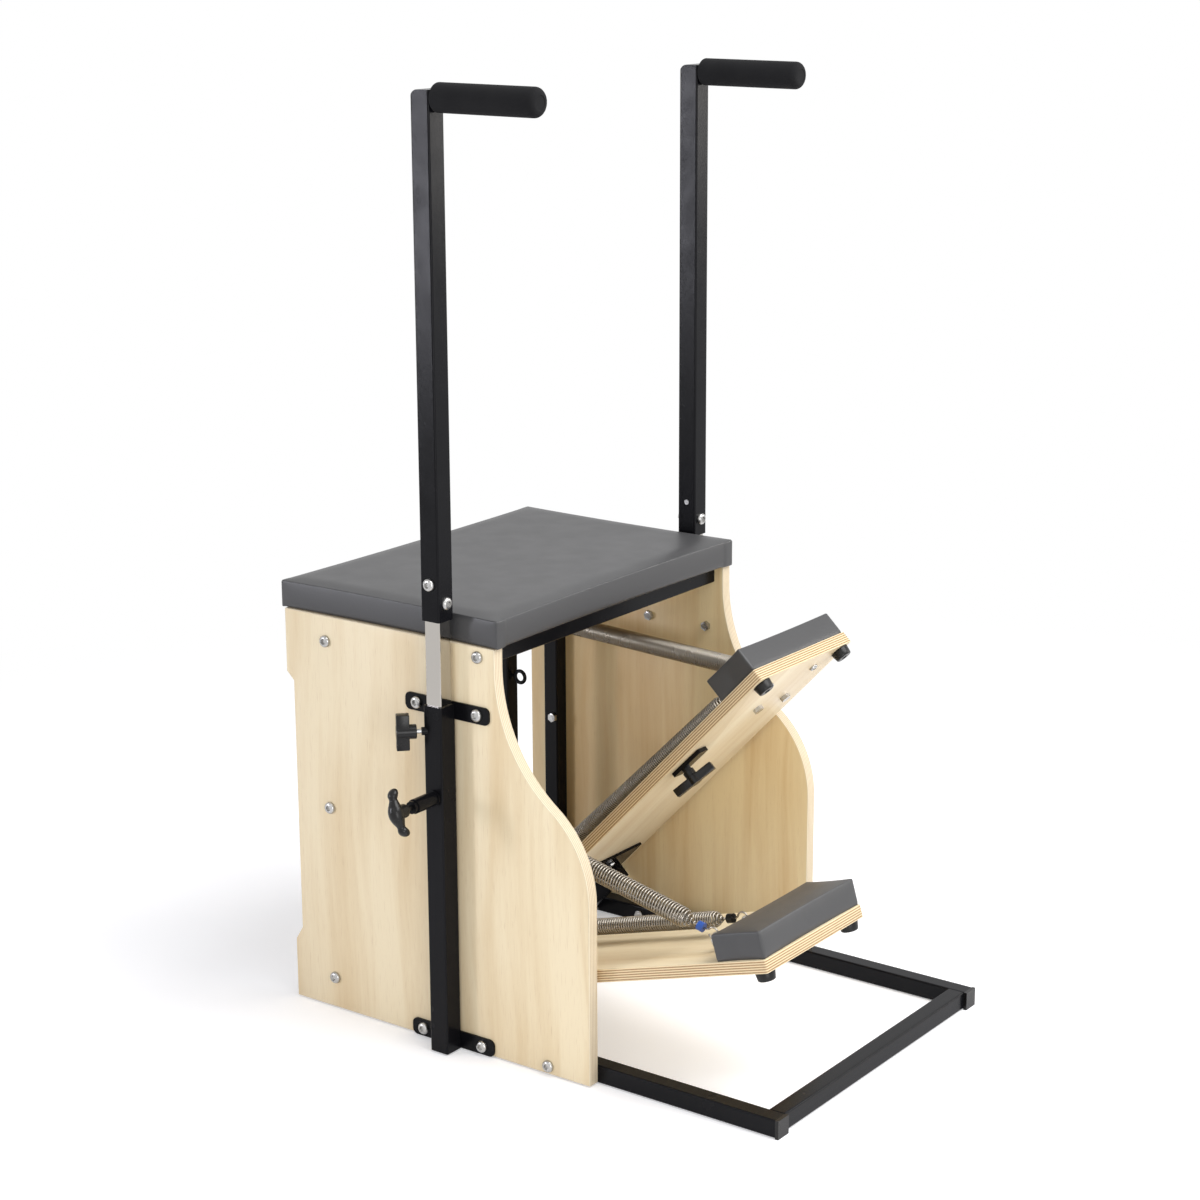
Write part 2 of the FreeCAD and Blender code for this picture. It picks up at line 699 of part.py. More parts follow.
# Handle: chrome tube with a row of holes, black upper tube with the grip's peg, foam grip, two bolts.
def handle_bolt_holes(name, side):
    across = drill(f"{name}_across", BOLT_HOLE, side, SLEEVE_NEAR, SLEEVE_FAR, "handle_mid",
                   "upper_bottom + outer_bolt_up")
    deep = rod(f"{name}_deep", BOLT_HOLE, "sleeve_side + 2 * cut_over",
               (signed(side, SLEEVE_MID), f"{SLEEVE_FRONT} - cut_over", "upper_bottom + front_bolt_up"), "y")
    return across, deep


def inner_tube(side):
    tag = TAGS[side]
    near, far = f"({SLEEVE_MID} - inner_side / 2)", f"({SLEEVE_MID} + inner_side / 2)"
    sizes = ("inner_side", "inner_side", "inner_top - inner_bottom")
    at = (sided(side, near, far), "handle_mid - inner_side / 2", "inner_bottom")
    blank = tube(f"{tag}_inner", sizes, at, "z", "inner_wall", "inner_round")
    holes = list(handle_bolt_holes(f"{tag}_inner_bolt", side))
    for k in range(-HOLES_BELOW, HOLES_ABOVE + 1):
        holes.append(drill(f"{tag}_row_hole_{k + HOLES_BELOW}", "hole_radius", side, f"{far} - inner_wall", far,
                           "handle_mid", f"pin_height + {k} * hole_pitch"))
    node(f"{tag}_inner_tube", cut(f"{tag}_inner_cut", blank, *holes))


def upper_tube(side):
    """Closed on top, with a large radius at the rear top corner and a peg at the front."""
    tag = TAGS[side]
    sizes = ("sleeve_side", "sleeve_side", "upper_top - upper_bottom")
    at = (sided(side, SLEEVE_NEAR, SLEEVE_FAR), SLEEVE_FRONT, "upper_bottom")
    back, top = size("handle_mid") + size("sleeve_side") / 2, size("upper_top")

    def rear_top(edge):
        room = edge.BoundBox
        return room.YMin > back - TINY_SHARE * back and room.ZMin > top - TINY_SHARE * top

    shaped = doc.addObject("Part::Common", f"{tag}_upper_shaped")
    shaped.Base = rounded(f"{tag}_upper_soft", box(f"{tag}_upper_bar", sizes, at), "sleeve_round", along(Z))
    block = box(f"{tag}_upper_block", sizes, at)
    shaped.Tool = rounded(f"{tag}_upper_round", block, "upper_corner", rear_top)
    deep = "upper_top - upper_bottom - upper_cap + cut_over"
    room_at = (sided(side, f"{SLEEVE_NEAR} + sleeve_wall", f"{SLEEVE_FAR} - sleeve_wall"),
               f"{SLEEVE_FRONT} + sleeve_wall", "upper_bottom - cut_over")
    hollow = box(f"{tag}_upper_bore", (SLEEVE_ROOM, SLEEVE_ROOM, deep), room_at)
    shell = cut(f"{tag}_upper_hollow", shaped, hollow, *handle_bolt_holes(f"{tag}_upper_bolt", side))
    start, stop = "(grip_front + peg_short)", f"({SLEEVE_FRONT} + sleeve_wall / 2)"
    peg_at = (signed(side, SLEEVE_MID), start, GRIP_UP)
    peg = rod(f"{tag}_peg", "peg_radius", f"{stop} - {start}", peg_at, "y")
    node(f"{tag}_upper_tube", join(f"{tag}_upper_welded", shell, peg))


def grip(side):
    tag = TAGS[side]
    x = signed(side, SLEEVE_MID)
    stop = f"({SLEEVE_FRONT} - grip_gap)"
    foam = rod(f"{tag}_foam", "grip_radius", f"{stop} - grip_front", (x, "grip_front", GRIP_UP), "y")
    front = size("grip_front", "grip_round")
    soft = rounded(f"{tag}_foam_soft", foam, "grip_round", lambda e: e.BoundBox.YMax < front)
    start = "(grip_front + peg_short - grip_fit)"
    bore = rod(f"{tag}_foam_bore", "peg_radius + grip_fit", f"{stop} - {start} + cut_over",
               (x, start, GRIP_UP), "y")
    node(f"{tag}_grip", cut(f"{tag}_grip_cut", soft, bore))


def handle(side):
    """The outer bolt is flush on the panel's side, so that the handle can slide down past the seat."""
    inner_tube(side)
    upper_tube(side)
    grip(side)
    tag, half, mid = TAGS[side], size("sleeve_side") / 2, size("handle_mid")
    x = side * (size("panel_outer", "strap_thick") + half)
    outer = Vector(x + side * half, mid, size("upper_bottom", "outer_bolt_up"))
    front = Vector(x, mid - half, size("upper_bottom", "front_bolt_up"))
    tapped = [(outer, X * side, 2 * half, "bolt_radius")]
    nutted = [(front, Y * -1, 2 * half, "bolt_radius")]
    node(f"{tag}_handle_bolts", feature(f"{tag}_handle_bolts", bolts(nutted, tapped)))


def frame_bolts():
    """Bolts of the sides into the posts and rails, and of the sleeves' straps."""
    panel_places, strap_places = [], []
    through = size("panel_thick", "tube_side")
    for side in TAGS:
        x, out = side * size("panel_outer"), X * side
        spots = [(size("panel_bolt_back"), size(f"panel_bolt_{level}"), through) for level in LEVELS]
        spots.append((size("seat_rail_bolt"), size("seat_rail_bolt_up"), size("panel_thick", "end_plate")))
        spots.append((size("rail_bolt"), size("axle_up"), through))
        panel_places += [(Vector(x, back, up), out, hold, "bolt_radius") for back, up, hold in spots]
        face = side * size("panel_outer", "strap_thick")
        for back in (size("handle_mid", "strap_reach"), size("handle_mid", "-strap_reach")):
            high, low = Vector(face, back, size("strap_high")), Vector(face, back, size("strap_low"))
            strap_places.append((high, out, size("strap_thick", "panel_thick"), "bolt_radius"))
            strap_places.append((low, out, size("strap_thick") + through, "bolt_radius"))
    node("panel_bolts", feature("panel_bolts", bolts(panel_places)))
    node("strap_bolts", feature("strap_bolts", bolts(strap_places)))


# Hooks: two rings on each spring post, and one long eye on each corner post, set where its spring hangs.
def ring_hook(middle, axis, root, way):
    """A ring about middle with a round stem from root towards it."""
    ring, wire = size("hook_ring"), size("hook_wire")
    stem = Part.makeCylinder(wire, (middle - root).Length - ring, root, way)
    return Part.makeTorus(ring, wire, middle, axis).fuse(stem)


def hooks():
    rings, eyes = [], []
    front, back = size("post_front"), size("hook_back")
    face = size("panel_outer", "-panel_thick", "-tube_side")
    for side in TAGS:
        x = side * spring_across("inner")
        for up in (size("hook_low"), size("hook_high")):
            rings.append(ring_hook(Vector(x, front - size("hook_out"), up), X, Vector(x, front, up), Y * -1))
        up = size(f"{TAGS[side]}_hook_up")
        middle = Vector(side * spring_across("outer"), back, up)
        eyes.append(ring_hook(middle, Y, Vector(side * face, back, up), X * -side))
    node("spring_hooks", feature("spring_hooks", Part.makeCompound(rings)))
    node("spring_eyes", feature("spring_eyes", Part.makeCompound(eyes)))


# Pedals, drawn level about their axle and then swung up to their angle.
def swung(tag):
    turn = Rotation(X * -1, size(f"{tag}_pedal_angle"))
    return Placement(Vector(0, size("axle_back"), size("axle_up")), turn)


def swing(item, tag):
    item.Placement = swung(tag)
    item.setExpression("Placement.Rotation.Angle", formula(f"{tag}_pedal_angle"))
    return put(item, ("0", "axle_back", "axle_up"))


def hinge_spots():
    """Places of the hinge's bolts as formulas: across from the middle, forward of the axle."""
    across = (f"{HINGE_NEAR} + hinge_bolt_inset", f"{HINGE_FAR} - hinge_bolt_inset")
    deep = ("pedal_back + hinge_bolt_edge", "hinge_plate_front - hinge_bolt_edge")
    return [(a, d) for a in across for d in deep]


def pad_screw_spots():
    """Places of the pad's screws as formulas, across from the middle and forward of the axle."""
    sides = ("pedal_inner + pad_screw_in", f"{PEDAL_OUTER} - pad_screw_in")
    return [(across, "pedal_front - pad_screw_front_in") for across in sides]


def pedal_board(side):
    tag = TAGS[side]
    sizes = (f"{PEDAL_OUTER} - pedal_inner", "pedal_front - pedal_back", "pedal_thick")
    at = (sided(side, "pedal_inner", PEDAL_OUTER), "-pedal_front", "pedal_rise")
    board = box(f"{tag}_pedal_sheet", sizes, at)
    holes = [(spot, EYE_REACH, "eye_wire + bolt_fit") for spot in SPRING_SPOTS.values()]
    spots = hinge_spots() + pad_screw_spots()
    holes += [(across, deep, "hinge_bolt_radius + bolt_fit") for across, deep in spots]
    if side > 0:
        holes.append(("turn_side", "turn_reach", "screw_radius + screw_fit"))
    tools = [rod(f"{tag}_pedal_hole_{k}", radius, "pedal_thick + 2 * cut_over",
                 (signed(side, across), f"-({deep})", "pedal_rise - cut_over"))
             for k, (across, deep, radius) in enumerate(holes)]
    node(f"{tag}_pedal_board", swing(cut(f"{tag}_pedal_cut", board, *tools), tag))


def pedal_hinge(side):
    """A plate under the board with two arms that ride on the axle."""
    tag = TAGS[side]
    under = "pedal_rise - hinge_plate_thick"
    sizes = (f"{HINGE_FAR} - {HINGE_NEAR}", "hinge_plate_front - pedal_back", "hinge_plate_thick")
    at = (sided(side, HINGE_NEAR, HINGE_FAR), "-hinge_plate_front", under)
    pieces = [box(f"{tag}_hinge_plate", sizes, at)]
    tools = []
    starts = (f"({HINGE_NEAR} + hinge_arm_inset)", f"({HINGE_FAR} - hinge_arm_inset - hinge_arm_wide)")
    for k, start in enumerate(starts):
        stop = f"{start} + hinge_arm_wide"
        sizes = ("hinge_arm_wide", "hinge_arm_front", f"{under} + hinge_arm_drop")
        at = (sided(side, start, stop), "-hinge_arm_front", "-hinge_arm_drop")
        pieces.append(box(f"{tag}_hinge_arm_{k}", sizes, at))
        pieces.append(spindle(f"{tag}_hinge_ring_{k}", "hinge_ring_radius", side, start, stop, "0", "0"))
        tools.append(drill(f"{tag}_hinge_bore_{k}", "axle_radius + axle_fit", side, start, stop, "0", "0"))
    for k, (across, deep) in enumerate(hinge_spots()):
        at = (signed(side, across), f"-({deep})", f"{under} - cut_over")
        tools.append(rod(f"{tag}_plate_hole_{k}", "hinge_bolt_radius + bolt_fit",
                         "hinge_plate_thick + 2 * cut_over", at))
    welded = join(f"{tag}_hinge_welded", *pieces)
    node(f"{tag}_pedal_hinge", swing(cut(f"{tag}_hinge_cut", welded, *tools), tag))


def pedal_pad(side):
    tag = TAGS[side]
    near, far = size("pedal_inner", "pad_inset"), pedal_edge("-pad_inset")
    front, top = size("pad_front_inset", "-pedal_front"), size("pedal_rise", "pedal_thick")
    low = Vector(min(side * near, side * far), front, top)
    high = low + Vector(far - near, size("pad_deep"), size("pad_high"))
    node(f"{tag}_pedal_pad", swing(feature(f"{tag}_pedal_pad", cushion(low, high, "pad")), tag))


def pedal_bumpers(side):
    tag = TAGS[side]
    feet = []
    for k, across in enumerate(("pedal_inner + bumper_in", f"{PEDAL_OUTER} - bumper_in")):
        foot = doc.addObject("Part::Cone", f"{tag}_bumper_{k}")
        bind(foot, Radius1="bumper_tip_radius", Radius2="bumper_radius", Height="bumper_high")
        feet.append(put(foot, (signed(side, across), f"-{BUMPER_REACH}", "pedal_rise - bumper_high")))
    node(f"{tag}_pedal_bumpers", swing(group(f"{tag}_bumper_pair", feet), tag))


def eye_reach():
    return size("pedal_front", "-pad_front_inset", "-pad_deep", "-eye_behind_pad")


def pedal_eyes(side):
    """Eye bolts for the springs, behind the pad, with their nuts under the board."""
    tag = TAGS[side]
    ring, wire, nut_high = size("eye_ring"), size("eye_wire"), size("nut_high")
    under, up = size("pedal_rise"), size("pedal_rise", "eye_up", "-eye_ring")
    eyes = []
    for kind in SPRING_SPOTS:
        middle = Vector(side * spring_across(kind), -eye_reach(), up)
        foot = Vector(middle.x, middle.y, under - nut_high)
        stem = Part.makeCylinder(wire, up - ring - foot.z, foot)
        nut = hexagon(size("nut_radius"), foot, nut_high)
        eyes.append(Part.makeTorus(ring, wire, middle, Y).fuse([stem, nut]))
    node(f"{tag}_pedal_eyes", swing(feature(f"{tag}_pedal_eyes", Part.makeCompound(eyes)), tag))


def pedal_bolts(side):
    """Bolts of the hinge plate, heads on top of the board, and the pad's screws, heads below it."""
    tag = TAGS[side]
    near = size("pedal_inner", "hinge_side_gap", "hinge_bolt_inset")
    far = pedal_edge("-hinge_outer_gap", "-hinge_bolt_inset")
    places = []
    for across in (near, far):
        for deep in (size("pedal_back", "hinge_bolt_edge"), size("hinge_plate_front", "-hinge_bolt_edge")):
            head = Vector(side * across, -deep, size("pedal_rise", "pedal_thick"))
            places.append((head, Z, size("pedal_thick", "hinge_plate_thick"), "hinge_bolt_radius"))
    deep = size("pedal_front", "-pad_screw_front_in")
    heads = [Vector(side * across, -deep, size("pedal_rise"))
             for across in (size("pedal_inner", "pad_screw_in"), pedal_edge("-pad_screw_in"))]
    screws = [(head, Z * -1, size("pedal_thick"), "hinge_bolt_radius") for head in heads]
    node(f"{tag}_pedal_bolts", swing(feature(f"{tag}_pedal_bolts", bolts(places, screws)), tag))


# Turn plate and bar knob under the right pedal, on one bolt through the board.
def turn_bar(wide, long, thick, up, angle, fore, edges):
    """A block at a height, turned on the knob's line and set forward of it, with some edges rounded."""
    block = Part.makeBox(wide, long, thick, Vector(-wide / 2, -long / 2 - fore, 0))
    block = block.makeFillet(size("knob_round"), [e for e in block.Edges if edges(e)])
    place = Placement(Vector(size("turn_side"), -size("turn_reach"), up), Rotation(Z, size(angle)))
    block.transformShape(place.toMatrix(), True)
    return block


def turn_knob():
    spot = Vector(size("turn_side"), -size("turn_reach"), 0)

    def disc(radius, start, stop):
        return Part.makeCylinder(radius, stop - start, spot + Vector(0, 0, start))

    plate_top = size("pedal_rise", "-turn_gap")
    plate_low = plate_top - size("turn_plate_thick")
    sizes = map(size, ("turn_plate_wide", "turn_plate_long", "turn_plate_thick"))
    plate = turn_bar(*sizes, plate_low, "turn_plate_angle", size("turn_plate_fore"), along(Z))
    screw, hub = size("screw_radius"), size("knob_hub_radius")
    form = feature("turn_plate", plate.cut(disc(screw + size("screw_fit"), plate_low, plate_top)))
    node("turn_plate", swing(form, "right"))
    hub_top = plate_low - size("turn_knob_gap")
    hub_low = hub_top - size("turn_hub_long")
    head = size("pedal_rise", "pedal_thick", "turn_gap")
    bar_low = hub_low - size("turn_bar_thick") + size("knob_round")
    bar = map(size, ("knob_bar_wide", "turn_bar_long", "turn_bar_thick"))
    pieces = [
        disc(size("turn_head_radius"), head, head + size("turn_head_high")),
        disc(size("turn_collar_radius"), hub_top, plate_low),
        disc(hub, hub_low, hub_top),
        turn_bar(*bar, bar_low, "turn_angle", 0, lambda e: True),
    ]
    knob = disc(screw, hub_low, head).fuse(pieces).removeSplitter()
    node("turn_knob", swing(feature("turn_knob", knob), "right"))


# Springs: one wire each, a loop, a neck, the curls, a neck and a loop.
def biarc(p, t, q, u):
    """Two arcs that leave p along t and reach q along u, as edges."""
    v, w = q - p, t + u
    k, reach = 2 * (1 - t.dot(u)), v.dot(t + u)
    if k < TINY_SHARE and v.cross(t).Length < TINY_SHARE * v.Length:
        return [Part.LineSegment(p, q).toShape()]
    if k < TINY_SHARE:
        d = v.dot(v) / (2 * reach)
    else:
        d = (math.sqrt(reach ** 2 + k * v.dot(v)) - reach) / k
    meet = (p + t * d + q - u * d) * 0.5
    return [arc(p, meet, t), arc(q, meet, u * -1)]


def arc(start, stop, way):
    """The arc from start to stop that leaves start along way."""
    chord = stop - start
    unit = Vector(chord).normalize()
    rise = way - unit * way.dot(unit)
    if rise.Length < TINY_SHARE:
        return Part.LineSegment(start, stop).toShape()
    angle = math.atan2(rise.Length, way.dot(unit))
    top = start + chord * 0.5 + rise.normalize() * (chord.Length / 2 * math.tan(angle / 2))
    return Part.Arc(start, top, stop).toShape()


def loop_points(neck, way, across):
    """The end loop beyond a neck, from the neck's end to the wire's free end; way points outward."""
    r = size("loop_radius")
    bend, centre = neck + across * r, neck + way * (LOOP_RISE * r)
    points = [(neck, way)]
    for angle in map(math.radians, (-60, -30)):
        points.append((bend + (way * math.cos(angle) + across * math.sin(angle)) * r,
                       across * math.cos(angle) - way * math.sin(angle)))
    for angle in map(math.radians, (90, 30, -30, -90, -140)):
        points.append((centre + (way * math.cos(angle) + across * math.sin(angle)) * r,
                       way * math.sin(angle) - across * math.cos(angle)))
    return points


def curl_points(start, stop):
    """Points and ways along the curls; the first and last turn swell from the middle line and back."""
    u = Vector(stop - start).normalize()
    e = u.cross(X).normalize()
    f = u.cross(e)
    r, pitch = size("spring_radius"), (stop - start).Length / CURLS_EACH
    turns = [k / EIGHTHS for k in range(EIGHTHS)]
    turns += [1 + k / QUARTERS for k in range(QUARTERS * (CURLS_EACH - 2))]
    turns += [CURLS_EACH - 1 + k / EIGHTHS for k in range(EIGHTHS + 1)]
    points = []
    for turn in turns:
        near = min(turn, CURLS_EACH - turn, 1)
        swell, slope = near ** 2 * (3 - 2 * near), 6 * near * (1 - near) * (1 if turn < 2 else -1)
        phase = math.tau * turn
        spoke, side_way = e * math.cos(phase) + f * math.sin(phase), f * math.cos(phase) - e * math.sin(phase)
        way = spoke * (r * slope) + side_way * (r * swell * math.tau) + u * pitch
        points.append((start + u * (pitch * turn) + spoke * (r * swell), way.normalize()))
    return points


def spring_path(rear, front, rear_across, front_across):
    """Points and ways along the wire, from the rear loop's free end to the front loop's."""
    u = Vector(front - rear).normalize()
    set_back = size("loop_slack") + LOOP_RISE * size("loop_radius")
    rear_neck, front_neck = rear + u * set_back, front - u * set_back
    tail = [(p, t * -1) for p, t in reversed(loop_points(rear_neck, u * -1, rear_across))]
    curls = curl_points(rear_neck + u * size("neck_rear"), front_neck - u * size("neck_fore"))
    return tail + curls + loop_points(front_neck, u, front_across)


def least_gap(wire):
    """The least gap between stretches of the wire that are over four diameters apart along it."""
    thick = size("spring_wire")
    points, runs = [], [0.0]
    for edge in wire.OrderedEdges:
        first, last = edge.FirstParameter, edge.LastParameter
        points += [edge.valueAt(first + (last - first) * k / GAP_POINTS) for k in range(GAP_POINTS)]
    for p, q in zip(points, points[1:]):
        runs.append(runs[-1] + (q - p).Length)
    cell = size("spring_radius")
    cells = {}
    for k, p in enumerate(points):
        cells.setdefault((p.x // cell, p.y // cell, p.z // cell), []).append(k)
    steps = [(a, b, c) for a in (-1, 0, 1) for b in (-1, 0, 1) for c in (-1, 0, 1)]
    least = cell
    for (x, y, z), members in cells.items():
        others = [k for a, b, c in steps for k in cells.get((x + a, y + b, z + c), ())]
        for k in members:
            near = [(points[o] - points[k]).Length - thick for o in others if runs[o] - runs[k] > 4 * thick]
            least = min([least] + near)
    return least


def spring(side, kind):
    tag = TAGS[side]
    name = f"{tag}_{kind}_spring"
    x = side * spring_across(kind)
    front = swung(tag).multVec(Vector(x, -eye_reach(), size("pedal_rise", "eye_up")))
    if kind == "outer":
        rear = Vector(x, size("hook_back"), size(f"{tag}_hook_up", "-hook_ring"))
    else:
        middle = Vector(x, size("post_front", "-hook_out"), size("hook_low"))
        rear = middle + Vector(front - middle).normalize() * size("hook_ring")
    u = Vector(front - rear).normalize()
    upright = u.cross(X)
    path = spring_path(rear, front, upright if kind == "outer" else X, upright)
    edges = [e for (p, t), (q, w) in zip(path, path[1:]) for e in biarc(p, t, q, w)]
    wire = Part.Wire(Part.__sortEdges__(edges))
    print(f"{name}: least gap of the wire to itself {least_gap(wire):.2f} mm or more")
    round_end = Part.Wire(Part.makeCircle(size("spring_wire") / 2, path[0][0], path[0][1]))
    node(name, feature(name, wire.makePipeShell([round_end], True, False)))
    neck = front - u * (size("loop_slack", "collar_gap") + LOOP_RISE * size("loop_radius"))
    outer = Part.makeCylinder(size("collar_radius"), size("collar_long"), neck, u * -1)
    bore = Part.makeCylinder(size("collar_bore"), size("collar_long"), neck, u * -1)
    node(name + "_collar", feature(name + "_collar", outer.cut(bore)))


for hand in TAGS:
    for make in (panel, side_frame, sleeve, plunger, clamp, handle):
        make(hand)
    for make in (pedal_board, pedal_hinge, pedal_pad, pedal_bumpers, pedal_eyes, pedal_bolts):
        make(hand)
    for coil in ("outer", "inner"):
        spring(hand, coil)
caps()
cross_rails()
seat()
frame_bolts()
hooks()
turn_knob()
axle_at = (f"-{RAIL}", "axle_back", "axle_up")
node("pedal_axle", rod("pedal_axle_bar", "axle_radius", f"2 * {RAIL}", axle_at, "x"))
doc.recompute()

unsound = [o.Name for o in doc.Objects if "Invalid" in o.State or "Error" in o.State]
unsound += [name for name, item in NODES if item.Shape.isNull() or not item.Shape.isValid()]
if unsound:
    raise SystemExit("not sound: " + ", ".join(unsound))
os.makedirs("parts", exist_ok=True)
for name, item in NODES:
    item.Shape.exportStep(f"parts/{name}.step")
print(len(NODES), "pieces written")
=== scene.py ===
"""Looks of a pilates chair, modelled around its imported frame.

Plywood sides and pedals, a padded seat and pads, coil springs, foam grips, bolts and finishes.
Lengths are metres in the frame's own axes: X is the width, the pedals point to minus Y, Z is up.
"""

import math

import bmesh
import bpy
from bpy.props import FloatProperty, FloatVectorProperty, IntProperty, PointerProperty
from mathutils import Matrix, Vector


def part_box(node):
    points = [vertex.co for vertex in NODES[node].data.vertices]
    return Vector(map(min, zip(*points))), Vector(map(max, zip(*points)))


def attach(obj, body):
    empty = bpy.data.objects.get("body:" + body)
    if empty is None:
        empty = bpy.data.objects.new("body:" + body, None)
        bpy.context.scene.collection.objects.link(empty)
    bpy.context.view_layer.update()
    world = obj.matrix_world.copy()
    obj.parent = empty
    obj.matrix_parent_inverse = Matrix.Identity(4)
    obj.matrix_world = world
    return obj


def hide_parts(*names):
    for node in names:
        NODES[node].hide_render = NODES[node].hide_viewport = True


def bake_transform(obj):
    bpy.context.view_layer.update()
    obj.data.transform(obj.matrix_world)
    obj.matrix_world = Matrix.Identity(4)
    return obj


bl_info = {
    "name": "Pilates chair looks",
    "version": (1, 0, 0),
    "blender": (4, 5, 0),
    "location": "View3D > Sidebar > Chair",
    "description": "Dresses the frame of a pilates chair in wood, steel, springs and padding",
    "category": "Object",
}

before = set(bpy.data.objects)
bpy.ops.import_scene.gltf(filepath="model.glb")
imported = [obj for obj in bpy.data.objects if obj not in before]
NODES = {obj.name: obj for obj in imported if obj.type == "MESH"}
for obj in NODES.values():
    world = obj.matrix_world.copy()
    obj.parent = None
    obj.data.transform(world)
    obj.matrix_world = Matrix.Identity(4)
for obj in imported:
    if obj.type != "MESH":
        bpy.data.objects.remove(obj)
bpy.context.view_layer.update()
SIDES = {"left": -1, "right": 1}
X, Y, Z = Vector((1, 0, 0)), Vector((0, 1, 0)), Vector((0, 0, 1))

# Places that the frame also has, in metres.
PANEL_OUTER, PANEL_THICK = 0.278, 0.018
PANEL_FACE = PANEL_OUTER - PANEL_THICK
PANEL_FRONT, PANEL_NECK, PANEL_REAR = -0.122, 0.030, 0.399
PANEL_LOW, PANEL_TOP = 0.002, 0.578
SWEEP, SWEEP_RADIUS, SWEEP_START = math.radians(54), 0.150, 0.253
RECESS_DEPTH, RECESS_LOW, RECESS_TOP = 0.0125, 0.109, 0.475
SHOULDER_LOW, SHOULDER_TOP = 0.020, 0.012
AXLE = Vector((0, 0.241, 0.0135))
PEDAL_ANGLES = {"left": 16.5, "right": 46.7}
PEDAL_LOW, PEDAL_HIGH = Vector((0.018, -0.6555, 0.020)), Vector((0.253, -0.060, 0.038))
PEDAL_CORNER = 0.003
PAD_LOW, PAD_HIGH = Vector((0.0205, -0.6545, 0.038)), Vector((0.2505, -0.5785, 0.0765))
BUMPER_SPOTS = ((0.0345, -0.640), (0.2365, -0.640))
BUMPER_HIGH = 0.013
EYE = Vector((0, -0.545, 0.060))
SPRING_ACROSS = {"outer": 0.196, "inner": 0.126}
OUTER_HOOKS = {"left": Vector((0, 0.337, 0.365)), "right": Vector((0, 0.337, 0.471))}
INNER_HOOK, INNER_HOOK_RING = Vector((0, 0.304, 0.060)), 0.009
HANDLE_X, HANDLE_Y, HANDLE_HALF = 0.296, 0.1095, 0.015
GRIP_Z, GRIP_FRONT, GRIP_REAR, GRIP_RADIUS = 1.286, -0.069, 0.093, 0.019
GRIP_FRONT_ROUND, GRIP_REAR_ROUND = 0.009, 0.004
STRAP_FACE, STRAP_REACH = 0.281, 0.0513
PULL_X, PULL_Z, PULL_BOW, PULL_TURN = 0.388, 0.368, 0.070, 20
CLAMP_SPOT = Vector((0.311, 0.1245, 0.459))
CLAMP_NEAR, CLAMP_TOP, CLAMP_RADIUS, CLAMP_EASE = 0.0095, 0.0368, 0.0098, 0.0008
SCREW_RADIUS, SCREW_EASE, SCREW_INTO_HUB = 0.003, 0.0005, 0.001
TURN_SPOT, TURN_ANGLE = Vector((0.050, -0.438, 0)), math.radians(30)
# Bars of the knobs: width, length, and where they start and stop along the hub.
CLAMP_BAR, TURN_BAR = (0.015, 0.049, 0.0190, 0.0365), (0.0155, 0.066, -0.012, 0.0)
BAR_TAPER, BAR_EASE = 0.88, 0.0011
# Bolts: where they sit, and the grip between head and nut.
PANEL_BOLTS = ((0.325, 0.542, 0.043), (0.325, 0.301, 0.043), (0.325, 0.047, 0.043),
               (0.0575, 0.564, 0.021), (-0.053, 0.0135, 0.043))
STRAP_BOLTS = ((0.485, 0.021), (0.0135, 0.046))
HANDLE_BOLT_ACROSS, HANDLE_BOLT_DEEP = 0.661, 0.635
HINGE_BOLTS_X, HINGE_BOLTS_Y, HINGE_GRIP = (0.100, 0.164), (-0.082, -0.128), 0.022
PAD_SCREWS_X, PAD_SCREWS_Y, PAD_GRIP = (0.079, 0.192), -0.6175, 0.018
HEAD_GAIN, PEDAL_BOLT_SCALE = 1.22, 0.75
HEAD_RADIUS, HEAD_HIGH, HEAD_ROUND = 0.007, 0.0045, 0.0033
SOCKET_RADIUS, SOCKET_LONG, SOCKET_Z = 0.0036, 0.006, 0.0052
NUT_RADIUS, NUT_HIGH, NUT_EASE = 0.0075, 0.006, 0.0007
SHANK_RADIUS, THREAD_INSET, THREAD_END = 0.0038, 0.0026, 0.0006


def panel_bolt_places(side):
    """Head point, way out and grip of the bolts through one side."""
    return [(Vector((side * PANEL_OUTER, y, z)), X * side, grip) for y, z, grip in PANEL_BOLTS]


def strap_bolt_places(side):
    return [(Vector((side * STRAP_FACE, HANDLE_Y + reach, z)), X * side, grip)
            for reach in (STRAP_REACH, -STRAP_REACH) for z, grip in STRAP_BOLTS]


def handle_bolt_places(side):
    across = Vector((side * (HANDLE_X + HANDLE_HALF), HANDLE_Y, HANDLE_BOLT_ACROSS))
    deep = Vector((side * HANDLE_X, HANDLE_Y - HANDLE_HALF, HANDLE_BOLT_DEEP))
    return [(across, X * side, 2 * HANDLE_HALF, "tapped"), (deep, -Y, 2 * HANDLE_HALF)]


def pedal_place(hand):
    """Turns a point drawn level about the axle into the pedal's place at rest."""
    return Matrix.Translation(AXLE) @ Matrix.Rotation(-math.radians(PEDAL_ANGLES[hand]), 4, "X")


def pedal_bolt_places(hand):
    place, side = pedal_place(hand), SIDES[hand]
    up = place.to_3x3() @ Z
    hinge = [(place @ Vector((side * x, y, PEDAL_HIGH.z)), up, HINGE_GRIP)
             for x in HINGE_BOLTS_X for y in HINGE_BOLTS_Y]
    screws = [(place @ Vector((side * x, PAD_SCREWS_Y, PEDAL_LOW.z)), -up, PAD_GRIP, "tapped") for x in PAD_SCREWS_X]
    return hinge + screws


# Sizes and colours that a user would change.
def length(name, description, default):
    return FloatProperty(name=name, description=description, default=default, unit="LENGTH", precision=4)


def colour(name, description, default):
    return FloatVectorProperty(name=name, description=description, default=default, subtype="COLOR",
                               size=3, min=0, max=1)


